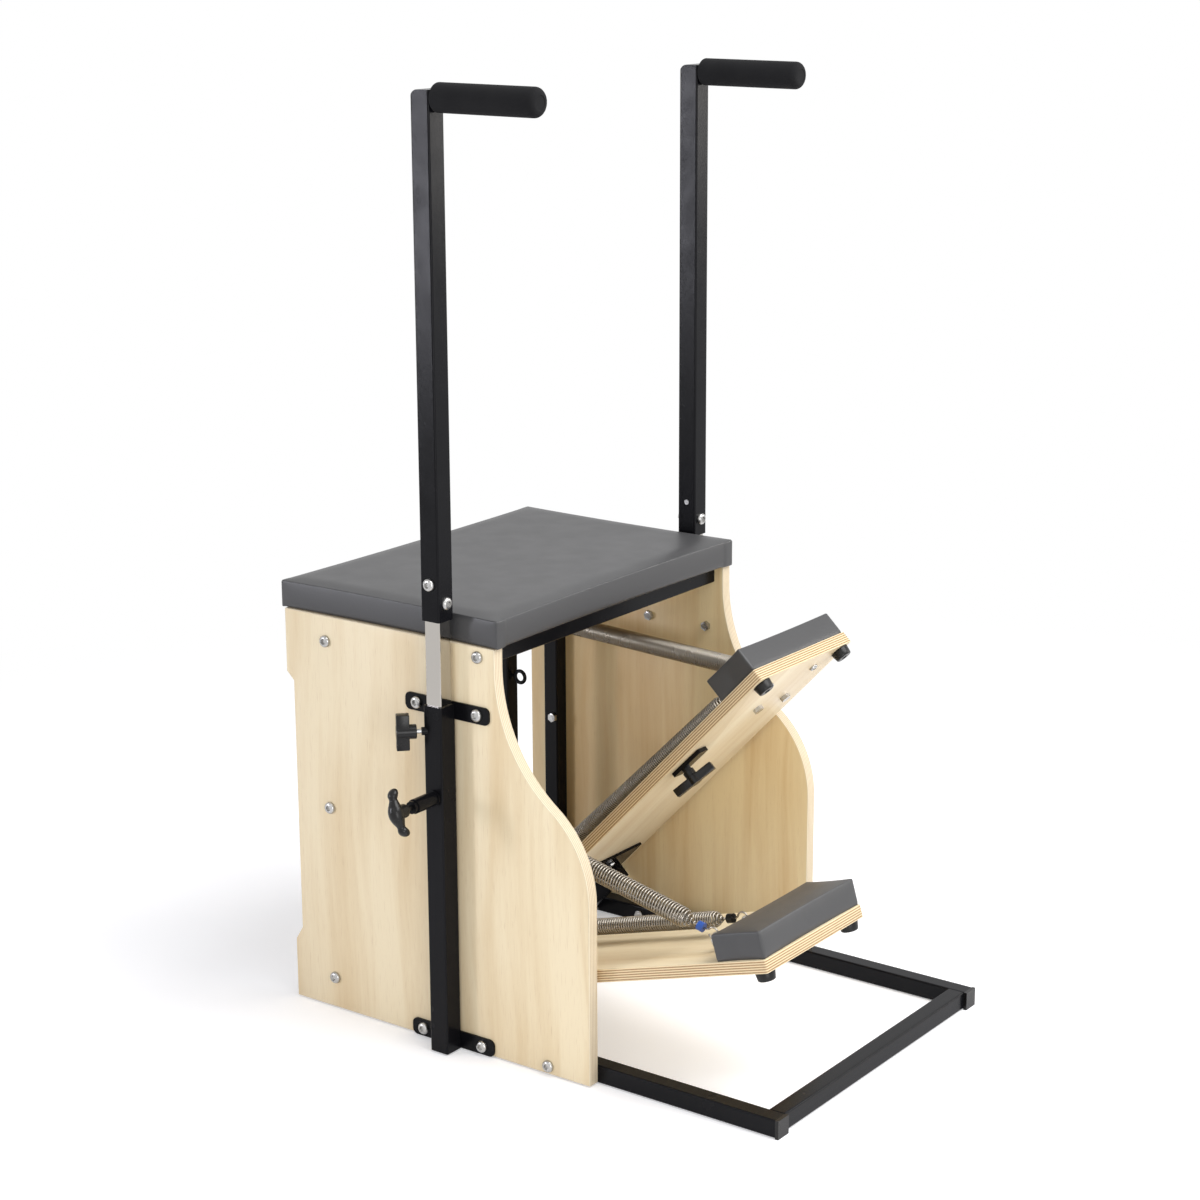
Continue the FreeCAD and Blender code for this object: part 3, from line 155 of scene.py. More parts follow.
def share(name, description, default):
    return FloatProperty(name=name, description=description, default=default, min=0, max=1, subtype="FACTOR")


class ChairWood(bpy.types.PropertyGroup):
    """Birch plywood of the sides and the pedals."""
    edge_ease: length("Edge ease", "Rounding of the sawn edges", 0.0012)
    pale: colour("Pale birch", "Colour of the face veneer", (0.84, 0.72, 0.50))
    warm: colour("Warm birch", "Colour of its darker bands", (0.72, 0.565, 0.345))
    # Painted shade: a darker, yellower copy of the birch colours for the inner faces of the sides, standing for how
    # they look in shade.
    shaded_pale: colour("Pale inner birch", "Colour of the yellower inner veneer", (0.80, 0.65, 0.385))
    shaded_warm: colour("Warm inner birch", "Colour of its darker bands", (0.68, 0.49, 0.25))
    knot: colour("Knots", "Colour of knots and pores", (0.20, 0.115, 0.05))
    edge_pale: colour("Pale veneer", "Colour of the long-grain veneers on the edge", (0.82, 0.67, 0.43))
    edge_dark: colour("Dark veneer", "Colour of the end-grain veneers on the edge", (0.30, 0.175, 0.08))
    panel_edge: colour("Side edge", "Colour of the pale edge of the sides", (0.79, 0.69, 0.51))
    panel_lines: share("Side lines", "How dark the veneers show on the edge of the sides", 0.48)
    veneers: IntProperty(name="Veneers", description="Layers in the thickness", default=11, min=3)


class ChairMetal(bpy.types.PropertyGroup):
    """Steel, chrome and zinc."""
    powder: colour("Powder coat", "Black coat of the tubes", (0.0055, 0.0055, 0.0068))
    chrome: colour("Chrome", "Inner tubes of the handles", (0.50, 0.475, 0.445))
    zinc: colour("Zinc", "Bolts and nuts", (0.46, 0.455, 0.445))
    spring: colour("Spring wire", "Coil springs", (0.31, 0.283, 0.245))


class ChairSoft(bpy.types.PropertyGroup):
    """Vinyl, foam, plastic and rubber."""
    vinyl: colour("Vinyl", "Cover of the seat and pads", (0.054, 0.054, 0.056))
    foam: colour("Foam", "Hand grips", (0.0075, 0.0075, 0.0085))
    plastic: colour("Plastic", "Knobs, pulls and caps", (0.006, 0.0055, 0.0055))
    rubber: colour("Rubber", "Bumpers under the pedals", (0.008, 0.008, 0.008))
    mark: colour("Spring mark", "Collar of the marked spring", (0.012, 0.07, 0.32))
    seat_cell: length("Seat mesh", "Mesh size of the seat cover", 0.010)
    pad_cell: length("Pad mesh", "Mesh size of a pad cover", 0.007)
    ease: length("Cover edge", "Rounding of the covers' corners and top edges", 0.0055)
    edge_hold: share("Edge hold", "How firmly the covers' edges hold their place", 0.85)
    seat_swell: length("Seat swell", "The furthest that the filling pushes the seat cover out", 0.0028)
    pad_swell: length("Pad swell", "The furthest that the filling pushes a pad cover out", 0.0020)
    fold_wide: length("Fold width", "Width of the fold at each corner of the seat", 0.016)
    fold_thick: length("Fold thickness", "How far that fold stands out", 0.0008)
    pressure: FloatProperty(name="Filling", description="Pressure of the filling", default=4.0, min=0)


class ChairSprings(bpy.types.PropertyGroup):
    """Coil springs."""
    turns: IntProperty(name="Turns", description="Turns of each coil", default=130, min=10)
    radius: length("Coil radius", "From the axis to the middle of the wire", 0.01215)
    inner_radius: length("Inner coil radius", "The same for the inner springs, close over the boards", 0.0104)
    wire: length("Wire", "Thickness of the wire", 0.0027)
    taper: FloatProperty(name="Taper", description="Turns over which each end narrows", default=5.0, min=1)
    loop: length("Loop radius", "Radius of the end loops", 0.0075)


class ChairStage(bpy.types.PropertyGroup):
    """Camera, light and floor."""
    lens: FloatProperty(name="Lens", description="Focal length in millimetres", default=78.72)
    floor: colour("Floor", "Pale studio floor", (0.86, 0.86, 0.885))
    sky: share("Surround", "Strength of the even light from all round", 0.44)


# Small helpers for the modelling operators.
def object_mode():
    if bpy.context.mode != "OBJECT":
        bpy.ops.object.mode_set(mode="OBJECT")


def start_clean():
    """Object mode with nothing selected."""
    object_mode()
    bpy.ops.object.select_all(action="DESELECT")


def pick(*pieces):
    """Selects these and nothing else; the first is active."""
    start_clean()
    for piece in pieces:
        piece.select_set(True)
    bpy.context.view_layer.objects.active = pieces[0]


def edit_mode(kind):
    bpy.ops.object.mode_set(mode="EDIT")
    bpy.context.tool_settings.mesh_select_mode = (kind == "VERT", kind == "EDGE", kind == "FACE")


def block(middle, room):
    """A cube brought to its place and size, in edit mode."""
    start_clean()
    bpy.ops.mesh.primitive_cube_add(size=1, location=middle, scale=room)
    bpy.ops.object.transform_apply(location=True, rotation=True, scale=True)
    edit_mode("EDGE")


def choose(kind, test):
    """In edit mode, selects the verts, edges or faces for which test holds, and nothing else."""
    bpy.ops.mesh.select_all(action="DESELECT")
    drawn = bmesh.from_edit_mesh(bpy.context.object.data)
    for item in getattr(drawn, kind):
        if test(item):
            item.select_set(True)
    bmesh.update_edit_mesh(bpy.context.object.data)


def choose_along(axis):
    """In edit mode, selects the edges that run along an axis."""
    choose("edges", lambda e: abs((e.verts[0].co - e.verts[1].co).normalized()[axis]) > 0.99)


def modify(kind, **settings):
    """Adds a modifier to the active object and applies it."""
    made = bpy.context.object.modifiers.new(kind.lower(), kind)
    for word, value in settings.items():
        setattr(made, word, value)
    bpy.ops.object.modifier_apply(modifier=made.name)


def ease_edges(width):
    modify("BEVEL", width=width, segments=2, limit_method="ANGLE", angle_limit=math.radians(50))


def outward():
    """Merges doubled points and turns all faces outwards."""
    bpy.ops.object.mode_set(mode="EDIT")
    bpy.ops.mesh.select_all(action="SELECT")
    bpy.ops.mesh.remove_doubles(threshold=1e-6)
    bpy.ops.mesh.normals_make_consistent(inside=False)
    object_mode()


def settle(name, smooth=35):
    """Names the active object, puts its place into its mesh and smooths it up to an angle."""
    piece = bpy.context.object
    object_mode()
    bpy.ops.object.transform_apply(location=True, rotation=True, scale=True)
    bpy.ops.object.shade_smooth_by_angle(angle=math.radians(smooth))
    piece.name = piece.data.name = name
    return piece


def turned_piece(profile, steps=32):
    """Draws a profile of (radius, height) points and spins it about Z into a closed piece."""
    points = [Vector((radius, 0, height)) for radius, height in profile]
    start_clean()
    bpy.ops.mesh.primitive_plane_add(size=0.01, location=points[0])
    bpy.ops.object.transform_apply(location=True)
    draw_line(points)
    bpy.ops.mesh.select_all(action="SELECT")
    bpy.ops.mesh.spin(steps=steps, angle=math.tau, center=(0, 0, 0), axis=(0, 0, 1))
    outward()
    return bpy.context.object


def draw_line(points):
    """Merges the new plane into its first point and draws the line on from there."""
    edit_mode("VERT")
    bpy.ops.mesh.select_all(action="SELECT")
    bpy.ops.mesh.merge(type="CENTER")
    for a, b in zip(points, points[1:]):
        bpy.ops.mesh.extrude_region_move(TRANSFORM_OT_translate={"value": b - a})


def arc(centre, radius, start, stop, steps):
    """Points of a rounding in a profile, angles in degrees from the outward way."""
    angles = [math.radians(start + (stop - start) * k / steps) for k in range(steps + 1)]
    return [(centre[0] + radius * math.cos(a), centre[1] + radius * math.sin(a)) for a in angles]


def place_mesh(piece, matrix):
    piece.data.transform(matrix)
    piece.data.update()


def joined(pieces, name):
    """One object out of several."""
    pick(*pieces)
    bpy.ops.object.join()
    pieces[0].name = pieces[0].data.name = name
    return pieces[0]


def copy_of(piece, matrix, name="copy"):
    """A copy with its own mesh, set in another place."""
    twin = piece.copy()
    twin.data = piece.data.copy()
    twin.name = twin.data.name = name
    place_mesh(twin, matrix)
    bpy.context.scene.collection.objects.link(twin)
    return twin


def dress(piece, *names):
    """Gives a piece its finishes, by name, in place of what it had."""
    piece.data.materials.clear()
    for name in names:
        piece.data.materials.append(finish_named(name))


def stands_for(piece, body, slot, *nodes):
    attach(piece, body)
    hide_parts(*nodes)


# Finishes: node groups that several materials share, then the materials.
def feed(tree, socket, value):
    """Links an input to a socket, or sets its value."""
    if isinstance(value, bpy.types.NodeSocket):
        tree.links.new(value, socket)
    else:
        socket.default_value = value


def node(tree, kind, inputs=None, **settings):
    """A shader node with its settings, values and links."""
    made = tree.nodes.new("ShaderNode" + kind)
    for word, value in settings.items():
        setattr(made, word, value)
    for word, value in (inputs or {}).items():
        feed(tree, made.inputs[word], value)
    return made


def noise(tree, vector, scale=1.0, detail=2.0, **more):
    return node(tree, "TexNoise", {"Vector": vector, "Scale": scale, "Detail": detail, **more})


def maths(tree, work, *values):
    return node(tree, "Math", dict(enumerate(values)), operation=work).outputs[0]


def stretched(tree, vector, scales):
    return node(tree, "VectorMath", {0: vector, 1: scales}, operation="MULTIPLY").outputs[0]


def remapped(tree, value, low, high, to_low=0.0, to_high=1.0):
    inputs = {"Value": value, "From Min": low, "From Max": high, "To Min": to_low, "To Max": to_high}
    return node(tree, "MapRange", inputs).outputs[0]


def mixed(tree, factor, first, second):
    made = node(tree, "Mix", data_type="RGBA")
    for place, value in ((0, factor), (6, first), (7, second)):
        feed(tree, made.inputs[place], value)
    return made.outputs[2]


def effect(name, inputs, outputs):
    """A new node group with its named sockets; gives the tree, its inputs and its outputs."""
    tree = bpy.data.node_groups.new(name, "ShaderNodeTree")
    for word, default in inputs.items():
        kind = "NodeSocketVector" if default is None else "NodeSocketFloat"
        socket = tree.interface.new_socket(word, in_out="INPUT", socket_type=kind)
        if default is not None:
            socket.default_value = default
    for word in outputs:
        tree.interface.new_socket(word, in_out="OUTPUT", socket_type="NodeSocketFloat")
    return tree, tree.nodes.new("NodeGroupInput").outputs, tree.nodes.new("NodeGroupOutput").inputs


def uneven_effect():
    """Slow cloudy change over a surface, between two values."""
    tree, given, made = effect("uneven", {"Vector": None, "Scale": 12.0, "Low": 0.3, "High": 0.5}, ["Value"])
    cloud = noise(tree, given["Vector"], given["Scale"], 4.0).outputs[0]
    tree.links.new(remapped(tree, cloud, 0.3, 0.7, given["Low"], given["High"]), made["Value"])
    return tree


def pebble_effect():
    """Small rounded grains, as in textured coats, vinyl and foam."""
    tree, given, made = effect("pebbles", {"Vector": None, "Scale": 900.0, "Soft": 0.5}, ["Height"])
    grains = node(tree, "TexVoronoi", {"Vector": given["Vector"], "Scale": given["Scale"], "Randomness": 1.0},
                  feature="SMOOTH_F1")
    cloud = noise(tree, given["Vector"], given["Scale"])
    mix = node(tree, "Mix", {0: given["Soft"], 2: grains.outputs["Distance"], 3: cloud.outputs[0]})
    tree.links.new(mix.outputs[0], made["Height"])
    return tree


def birch_effect():
    """Birch figure with the grain along Z: broad bands, fine streaks, pores and a few knots."""
    tree, given, made = effect("birch_figure", {"Vector": None}, ["Tone", "Pores", "Knots"])
    vector = given["Vector"]
    drift = noise(tree, stretched(tree, vector, (2.2, 2.2, 1.3)))
    bent = node(tree, "VectorMath", {0: drift.outputs["Color"], 1: (0.09, 0.09, 0.0), 2: vector},
                operation="MULTIPLY_ADD").outputs[0]
    flames = noise(tree, stretched(tree, bent, (24, 24, 1.6)), 1.0, 3.0, Roughness=0.45, Distortion=0.6)
    clouds = noise(tree, stretched(tree, vector, (7, 7, 2.2)))
    streaks = noise(tree, stretched(tree, bent, (130, 130, 4.0)), 1.0, 4.0, Roughness=0.6)
    tone = maths(tree, "ADD", maths(tree, "MULTIPLY", flames.outputs[0], 0.46),
                 maths(tree, "ADD", maths(tree, "MULTIPLY", clouds.outputs[0], 0.38),
                       maths(tree, "MULTIPLY", streaks.outputs[0], 0.16)))
    tree.links.new(remapped(tree, tone, 0.38, 0.57), made["Tone"])
    pores = noise(tree, stretched(tree, vector, (900, 900, 38)))
    tree.links.new(remapped(tree, pores.outputs[0], 0.60, 0.72), made["Pores"])
    spots = node(tree, "TexVoronoi", {"Vector": stretched(tree, vector, (9, 9, 5.5)), "Scale": 1.0})
    near = remapped(tree, spots.outputs["Distance"], 0.05, 0.015)
    rare = node(tree, "SeparateColor", {0: spots.outputs["Color"]})
    tree.links.new(maths(tree, "MULTIPLY", near, maths(tree, "GREATER_THAN", rare.outputs[0], 0.60)), made["Knots"])
    return tree


def veneer_effect():
    """Light and dark veneers across the thickness, level from 0 to 1, with a fine line at each glue joint."""
    tree, given, made = effect("veneers", {"Vector": None, "Level": 0.0, "Count": 13.0}, ["Dark", "Glue"])
    wave = noise(tree, given["Vector"], 34.0, 3.0)
    wobble = remapped(tree, wave.outputs[0], 0.3, 0.7, -0.06, 0.06)
    step = maths(tree, "ADD", maths(tree, "MULTIPLY", given["Level"], given["Count"]), wobble)
    odd = maths(tree, "MODULO", maths(tree, "FLOOR", step), 2.0)
    fleck = noise(tree, given["Vector"], 420.0)
    dark = maths(tree, "MULTIPLY", odd, remapped(tree, fleck.outputs[0], 0.30, 0.72, 0.82, 1.0))
    tree.links.new(dark, made["Dark"])
    part = maths(tree, "ABSOLUTE", maths(tree, "SUBTRACT", maths(tree, "FRACT", step), 0.5))
    tree.links.new(remapped(tree, part, 0.40, 0.49), made["Glue"])
    return tree


EFFECTS = {"uneven": uneven_effect, "pebbles": pebble_effect, "birch_figure": birch_effect, "veneers": veneer_effect}


def effect_node(tree, name, inputs):
    """Places a shared effect in a material."""
    group = bpy.data.node_groups.get(name) or EFFECTS[name]()
    made = tree.nodes.new("ShaderNodeGroup")
    made.node_tree = group
    for word, value in inputs.items():
        feed(tree, made.inputs[word], value)
    return made.outputs


def blank_finish(name, constants):
    """A new material; gives it with its tree, its shader and Object coordinates."""
    finish = bpy.data.materials.new(name)
    finish.use_nodes = True
    tree = finish.node_tree
    shader = tree.nodes["Principled BSDF"]
    for word, value in constants.items():
        shader.inputs[word].default_value = value
    return finish, tree, shader, tree.nodes.new("ShaderNodeTexCoord").outputs["Object"]


def bumped(tree, shader, height, distance):
    bump = node(tree, "Bump", {"Height": height, "Distance": distance, "Strength": 1.0})
    tree.links.new(bump.outputs[0], shader.inputs["Normal"])


def solid(rgb, gain=1.0):
    return (*(channel * gain for channel in rgb), 1.0)


def grain_place(tree, spot, hand):
    """Coordinates with the grain along Z: as they are on the sides, along the board on a pedal."""
    if hand is None:
        return spot
    back = pedal_place(hand).inverted()
    moved = node(tree, "Mapping", {"Vector": spot, "Location": back.to_translation(),
                                   "Rotation": back.to_euler()}, vector_type="POINT").outputs[0]
    turned = node(tree, "SeparateXYZ", {0: moved})
    return node(tree, "CombineXYZ", {0: turned.outputs[0], 1: turned.outputs[2], 2: turned.outputs[1]}).outputs[0]


def birch_finish(name, hand):
    """Varnished birch face veneer of the sides, or of one pedal; the sides' inner faces get a darker, yellower copy
    of its colours, which is painted shade.
    """
    wood = bpy.context.scene.chair_wood
    # The inner faces of the sides take the shaded copy of the colours: painted shade.
    pale, warm = (wood.shaded_pale, wood.shaded_warm) if name == "birch_inner" else (wood.pale, wood.warm)
    finish, tree, shader, spot = blank_finish(name, {"Specular IOR Level": 0.4})
    grain = grain_place(tree, spot, hand)
    figure = effect_node(tree, "birch_figure", {"Vector": grain})
    tone = mixed(tree, figure["Tone"], solid(warm), solid(pale))
    pored = mixed(tree, maths(tree, "MULTIPLY", figure["Pores"], 0.22), tone, solid(wood.knot, 2.2))
    knots = mixed(tree, maths(tree, "MULTIPLY", figure["Knots"], 0.75), pored, solid(wood.knot))
    tree.links.new(knots, shader.inputs["Base Color"])
    gloss = effect_node(tree, "uneven", {"Vector": spot, "Scale": 9.0, "Low": 0.36, "High": 0.48})
    tree.links.new(gloss["Value"], shader.inputs["Roughness"])
    bumped(tree, shader, maths(tree, "MULTIPLY", figure["Pores"], -1.0), 0.00006)
    return finish


def edge_finish(name, hand):
    """Sawn edge of the plywood, with its veneers."""
    wood = bpy.context.scene.chair_wood
    finish, tree, shader, spot = blank_finish(name, {"Specular IOR Level": 0.35})
    if hand is None:
        across = node(tree, "SeparateXYZ", {0: spot}).outputs[0]
        level = remapped(tree, maths(tree, "ABSOLUTE", across), PANEL_FACE, PANEL_OUTER)
    else:
        up = node(tree, "SeparateXYZ", {0: grain_place(tree, spot, hand)}).outputs[1]
        level = remapped(tree, up, PEDAL_LOW.z, PEDAL_HIGH.z)
    layers = effect_node(tree, "veneers", {"Vector": spot, "Level": level, "Count": float(wood.veneers)})
    pale, lines = (wood.panel_edge, wood.panel_lines) if hand is None else (wood.edge_pale, 1.0)
    shown = maths(tree, "MULTIPLY", layers["Dark"], lines)
    dark = mixed(tree, shown, solid(pale), solid(wood.edge_dark, 1.25))
    glued = mixed(tree, maths(tree, "MULTIPLY", layers["Glue"], 0.55 * lines), dark, solid(wood.edge_dark, 0.7))
    tree.links.new(glued, shader.inputs["Base Color"])
    rough = effect_node(tree, "uneven", {"Vector": spot, "Scale": 60.0, "Low": 0.5, "High": 0.68})
    tree.links.new(rough["Value"], shader.inputs["Roughness"])
    bumped(tree, shader, maths(tree, "MULTIPLY", layers["Dark"], -1.0), 0.0001)
    return finish


# Coats and skins: settings and name of the colour, least and most roughness, grains to the metre, their depth
# and softness, how far the colour changes, and what stays the same all over.
COATS = {
    "powder_coat": ("chair_metal", "powder", 0.20, 0.28, 1100.0, 0.00006, 0.5, 0.12, {"Specular IOR Level": 0.11}),
    "chrome_plate": ("chair_metal", "chrome", 0.05, 0.10, 300.0, 0.000004, 0.5, 0.03, {"Metallic": 1.0}),
    "zinc_plate": ("chair_metal", "zinc", 0.20, 0.34, 700.0, 0.00002, 0.5, 0.10, {"Metallic": 1.0}),
    "spring_wire": ("chair_metal", "spring", 0.24, 0.30, 900.0, 0.000002, 0.5, 0.04, {"Metallic": 1.0}),
    "grey_vinyl": ("chair_soft", "vinyl", 0.40, 0.45, 1300.0, 0.00006, 0.35, 0.02, {"Specular IOR Level": 0.45}),
    "black_foam": ("chair_soft", "foam", 0.80, 0.92, 1700.0, 0.00025, 0.6, 0.15, {"Specular IOR Level": 0.2}),
    "moulded_plastic": ("chair_soft", "plastic", 0.22, 0.32, 1500.0, 0.00003, 0.6, 0.10, {"Specular IOR Level": 0.3}),
    "bumper_rubber": ("chair_soft", "rubber", 0.30, 0.42, 1200.0, 0.00004, 0.6, 0.10, {"Specular IOR Level": 0.3}),
    "collar_plastic": ("chair_soft", "mark", 0.30, 0.42, 1200.0, 0.00004, 0.6, 0.10, {}),
}


def coat_finish(name):
    """A coat or skin: colour that changes a little, uneven gloss and small grains."""
    settings, word, least, most, grain, depth, soft, tint, constants = COATS[name]
    rgb = getattr(getattr(bpy.context.scene, settings), word)
    finish, tree, shader, spot = blank_finish(name, constants)
    cloud = effect_node(tree, "uneven", {"Vector": spot, "Scale": 7.0, "Low": 0.0, "High": 1.0})
    shade = mixed(tree, cloud["Value"], solid(rgb, 1 - tint), solid(rgb, 1 + tint))
    tree.links.new(shade, shader.inputs["Base Color"])
    rough = effect_node(tree, "uneven", {"Vector": spot, "Scale": 28.0, "Low": least, "High": most})
    tree.links.new(rough["Value"], shader.inputs["Roughness"])
    pebbles = effect_node(tree, "pebbles", {"Vector": spot, "Scale": grain, "Soft": soft})
    bumped(tree, shader, pebbles["Height"], depth)
    return finish


def finish_named(name):
    """A finish, made when it is first asked for. Its name is never one of the frame's own materials."""
    known = bpy.data.materials.get(name)
    if known:
        return known
    if name in COATS:
        return coat_finish(name)
    hand = next((word for word in SIDES if word in name), None)
    return edge_finish(name, hand) if name.startswith("ply_edge") else birch_finish(name, hand)


# Plywood sides.
def side_outline():
    """Corner points of a side in the Y-Z plane, the S of its front edge as two arcs."""
    turn, low = SWEEP, SWEEP_RADIUS
    high = (PANEL_NECK - PANEL_FRONT) / (1 - math.cos(turn)) - low
    stop = SWEEP_START + (low + high) * math.sin(turn)
    steps = [turn * k / 18 for k in range(19)]
    points = [(PANEL_FRONT + low * (1 - math.cos(a)), SWEEP_START + low * math.sin(a)) for a in steps]
    points += [(PANEL_NECK - high * (1 - math.cos(a)), stop - high * math.sin(a)) for a in steps[-2::-1]]
    inset = PANEL_REAR - RECESS_DEPTH
    points += [(PANEL_NECK, PANEL_TOP), (PANEL_REAR, PANEL_TOP), (PANEL_REAR, RECESS_TOP + SHOULDER_TOP),
               (inset, RECESS_TOP), (inset, RECESS_LOW), (PANEL_REAR, RECESS_LOW - SHOULDER_LOW),
               (PANEL_REAR, PANEL_LOW), (PANEL_FRONT, PANEL_LOW)]
    return points


def face_slots(piece, axis):
    """First finish on the faces across an axis, second on the edges."""
    for face in piece.data.polygons:
        face.material_index = 0 if abs(face.normal.dot(axis)) > 0.95 else 1


class CHAIR_OT_sides(bpy.types.Operator):
    """Models the two plywood sides with eased edges"""
    bl_idname = "chair.sides"
    bl_label = "Plywood sides"

    def execute(self, context):
        wood = context.scene.chair_wood
        for hand, side in SIDES.items():
            points = [Vector((side * PANEL_FACE, y, z)) for y, z in side_outline()]
            start_clean()
            bpy.ops.mesh.primitive_plane_add(size=PANEL_THICK, location=points[0])
            draw_line(points)
            bpy.ops.mesh.select_all(action="SELECT")
            bpy.ops.mesh.edge_face_add()
            bpy.ops.mesh.extrude_region_move(TRANSFORM_OT_translate={"value": X * side * PANEL_THICK})
            outward()
            ease_edges(wood.edge_ease)
            piece = settle(f"{hand}_side")
            dress(piece, "birch_face", "ply_edge", "birch_inner")
            face_slots(piece, X)
            # The inner faces get the third finish, the birch copy with painted shade.
            for face in piece.data.polygons:
                if face.normal.x * side < -0.95:
                    face.material_index = 2
            stands_for(piece, "frame", "plywood", f"{hand}_panel")
        return {"FINISHED"}


class CHAIR_OT_pedal_boards(bpy.types.Operator):
    """Models the pedal boards with eased edges"""
    bl_idname = "chair.pedal_boards"
    bl_label = "Pedal boards"

    def execute(self, context):
        wood = context.scene.chair_wood
        for hand, side in SIDES.items():
            middle = (PEDAL_LOW + PEDAL_HIGH) / 2
            block((side * middle.x, middle.y, middle.z), PEDAL_HIGH - PEDAL_LOW)
            choose_along(2)
            bpy.ops.mesh.bevel(offset=PEDAL_CORNER, segments=4)
            object_mode()
            ease_edges(wood.edge_ease)
            piece = settle(f"{hand}_pedal_ply")
            dress(piece, f"birch_face_{hand}_pedal", f"ply_edge_{hand}_pedal")
            face_slots(piece, Z)
            place_mesh(piece, pedal_place(hand))
            stands_for(piece, f"{hand}_pedal", "plywood", f"{hand}_pedal_board")
        return {"FINISHED"}


# Padded pieces: a block of small faces, swollen by its filling with its edges held.
CLOTH_STEPS = 20
SEAT_LIFT, PAD_LIFT = 0.0008, 0.0004


def soft_block(low, high, cell, ease, draw):
    """A block of small faces with eased corners and top edge, its sides drawn in between the corners."""
    middle, half = (low + high) / 2, (high - low) / 2
    block(middle, high - low)
    for axis in range(3):
        choose_along(axis)
        bpy.ops.mesh.subdivide(number_cuts=max(1, round((high - low)[axis] / cell) - 1))
    choose("edges", lambda e: e.calc_face_angle(0) > 1 and any(v.co.z > low.z + 1e-5 for v in e.verts))
    bpy.ops.mesh.bevel(offset=ease, segments=6, profile=0.78)
    object_mode()
    piece = bpy.context.object
    for point in piece.data.vertices:
        along = [(point.co[k] - middle[k]) / half[k] for k in range(2)]
        for k in range(2):
            point.co[k] -= along[k] * draw * (1 - along[1 - k] ** 2)
    return piece


def swell(piece, low, cap):
    """Lets the filling push a cover out by cap at most; the underside stays and the edges are held."""
    soft = bpy.context.scene.chair_soft
    mesh = piece.data
    held = piece.vertex_groups.new(name="held")
    held.add([v.index for v in mesh.vertices if max(abs(c) for c in v.normal) < 0.97], soft.edge_hold, "REPLACE")
    held.add([v.index for v in mesh.vertices if v.co.z < low + 1e-5], 1.0, "REPLACE")
    before = [v.co.copy() for v in mesh.vertices]
    cloth = piece.modifiers.new("filling", "CLOTH")
    cloth.settings.quality = 4
    cloth.settings.use_pressure = True
    cloth.settings.uniform_pressure_force = soft.pressure
    cloth.settings.vertex_group_mass = held.name
    cloth.settings.effector_weights.gravity = 0
    cloth.point_cache.frame_start, cloth.point_cache.frame_end = 1, CLOTH_STEPS
    for step in range(1, CLOTH_STEPS + 1):
        bpy.context.scene.frame_set(step)
    bpy.ops.object.modifier_apply(modifier=cloth.name)
    bpy.context.scene.frame_set(1)
    for point, start in zip(mesh.vertices, before):
        way = point.co - start
        if way.length > cap:
            point.co = start + way * (cap / way.length)
    piece.vertex_groups.clear()


def fold_corners(low, high, wide, thick):
    """Lifts the cover where it is folded over itself at the four corners of the front and the rear."""
    edit_mode("FACE")
    for way, face_y in ((-1, low.y), (1, high.y)):
        choose("faces", lambda f: f.normal.y * way > 0.9 and abs(f.calc_center_median().y - face_y) < 0.02
               and abs(f.calc_center_median().x) > high.x - wide)
        bpy.ops.mesh.extrude_region_move(TRANSFORM_OT_translate={"value": Y * way * thick})
    object_mode()


def fit_room(piece, low, high, lift):
    """Brings a cover to the room it has, its underside flat and lifted a little off what carries it."""
    spots = [v.co for v in piece.data.vertices]
    least = Vector(min(c[k] for c in spots) for k in range(3))
    most = Vector(max(c[k] for c in spots) for k in range(3))
    grow = Vector((high[k] - low[k]) / (most[k] - least[k]) for k in range(3))
    for point in piece.data.vertices:
        point.co = Vector(low[k] + (point.co[k] - least[k]) * grow[k] for k in range(3))
        if point.co.z < low.z + 0.0015:
            point.co.z = low.z + lift


class CHAIR_OT_seat(bpy.types.Operator):
    """Models the padded seat"""
    bl_idname = "chair.seat"
    bl_label = "Seat cushion"

    def execute(self, context):
        soft = context.scene.chair_soft
        low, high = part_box("seat_cushion")
        piece = soft_block(low, high - Z * soft.seat_swell, soft.seat_cell, soft.ease, soft.seat_swell * 1.5)
        swell(piece, low.z, soft.seat_swell)
        fold_corners(low, high, soft.fold_wide, soft.fold_thick)
        modify("SUBSURF", levels=1, render_levels=1)
        fit_room(piece, low, high, SEAT_LIFT)
        settle("seat_pad", 60)
        dress(piece, "grey_vinyl")
        stands_for(piece, "frame", "vinyl", "seat_cushion")
        return {"FINISHED"}


class CHAIR_OT_pads(bpy.types.Operator):
    """Models the padded foot rests of the pedals"""
    bl_idname = "chair.pads"
    bl_label = "Pedal pads"

    def execute(self, context):
        soft = context.scene.chair_soft
        for hand, side in SIDES.items():
            low, high = PAD_LOW.copy(), PAD_HIGH.copy()
            if side < 0:
                low.x, high.x = -high.x, -low.x
            piece = soft_block(low, high - Z * soft.pad_swell, soft.pad_cell, soft.ease, soft.pad_swell * 1.4)
            swell(piece, low.z, soft.pad_swell)
            modify("SUBSURF", levels=1, render_levels=1)
            fit_room(piece, low, high, PAD_LIFT)
            settle(f"{hand}_foot_pad", 60)
            place_mesh(piece, pedal_place(hand))
            dress(piece, "grey_vinyl")
            stands_for(piece, f"{hand}_pedal", "vinyl", f"{hand}_pedal_pad")
        return {"FINISHED"}


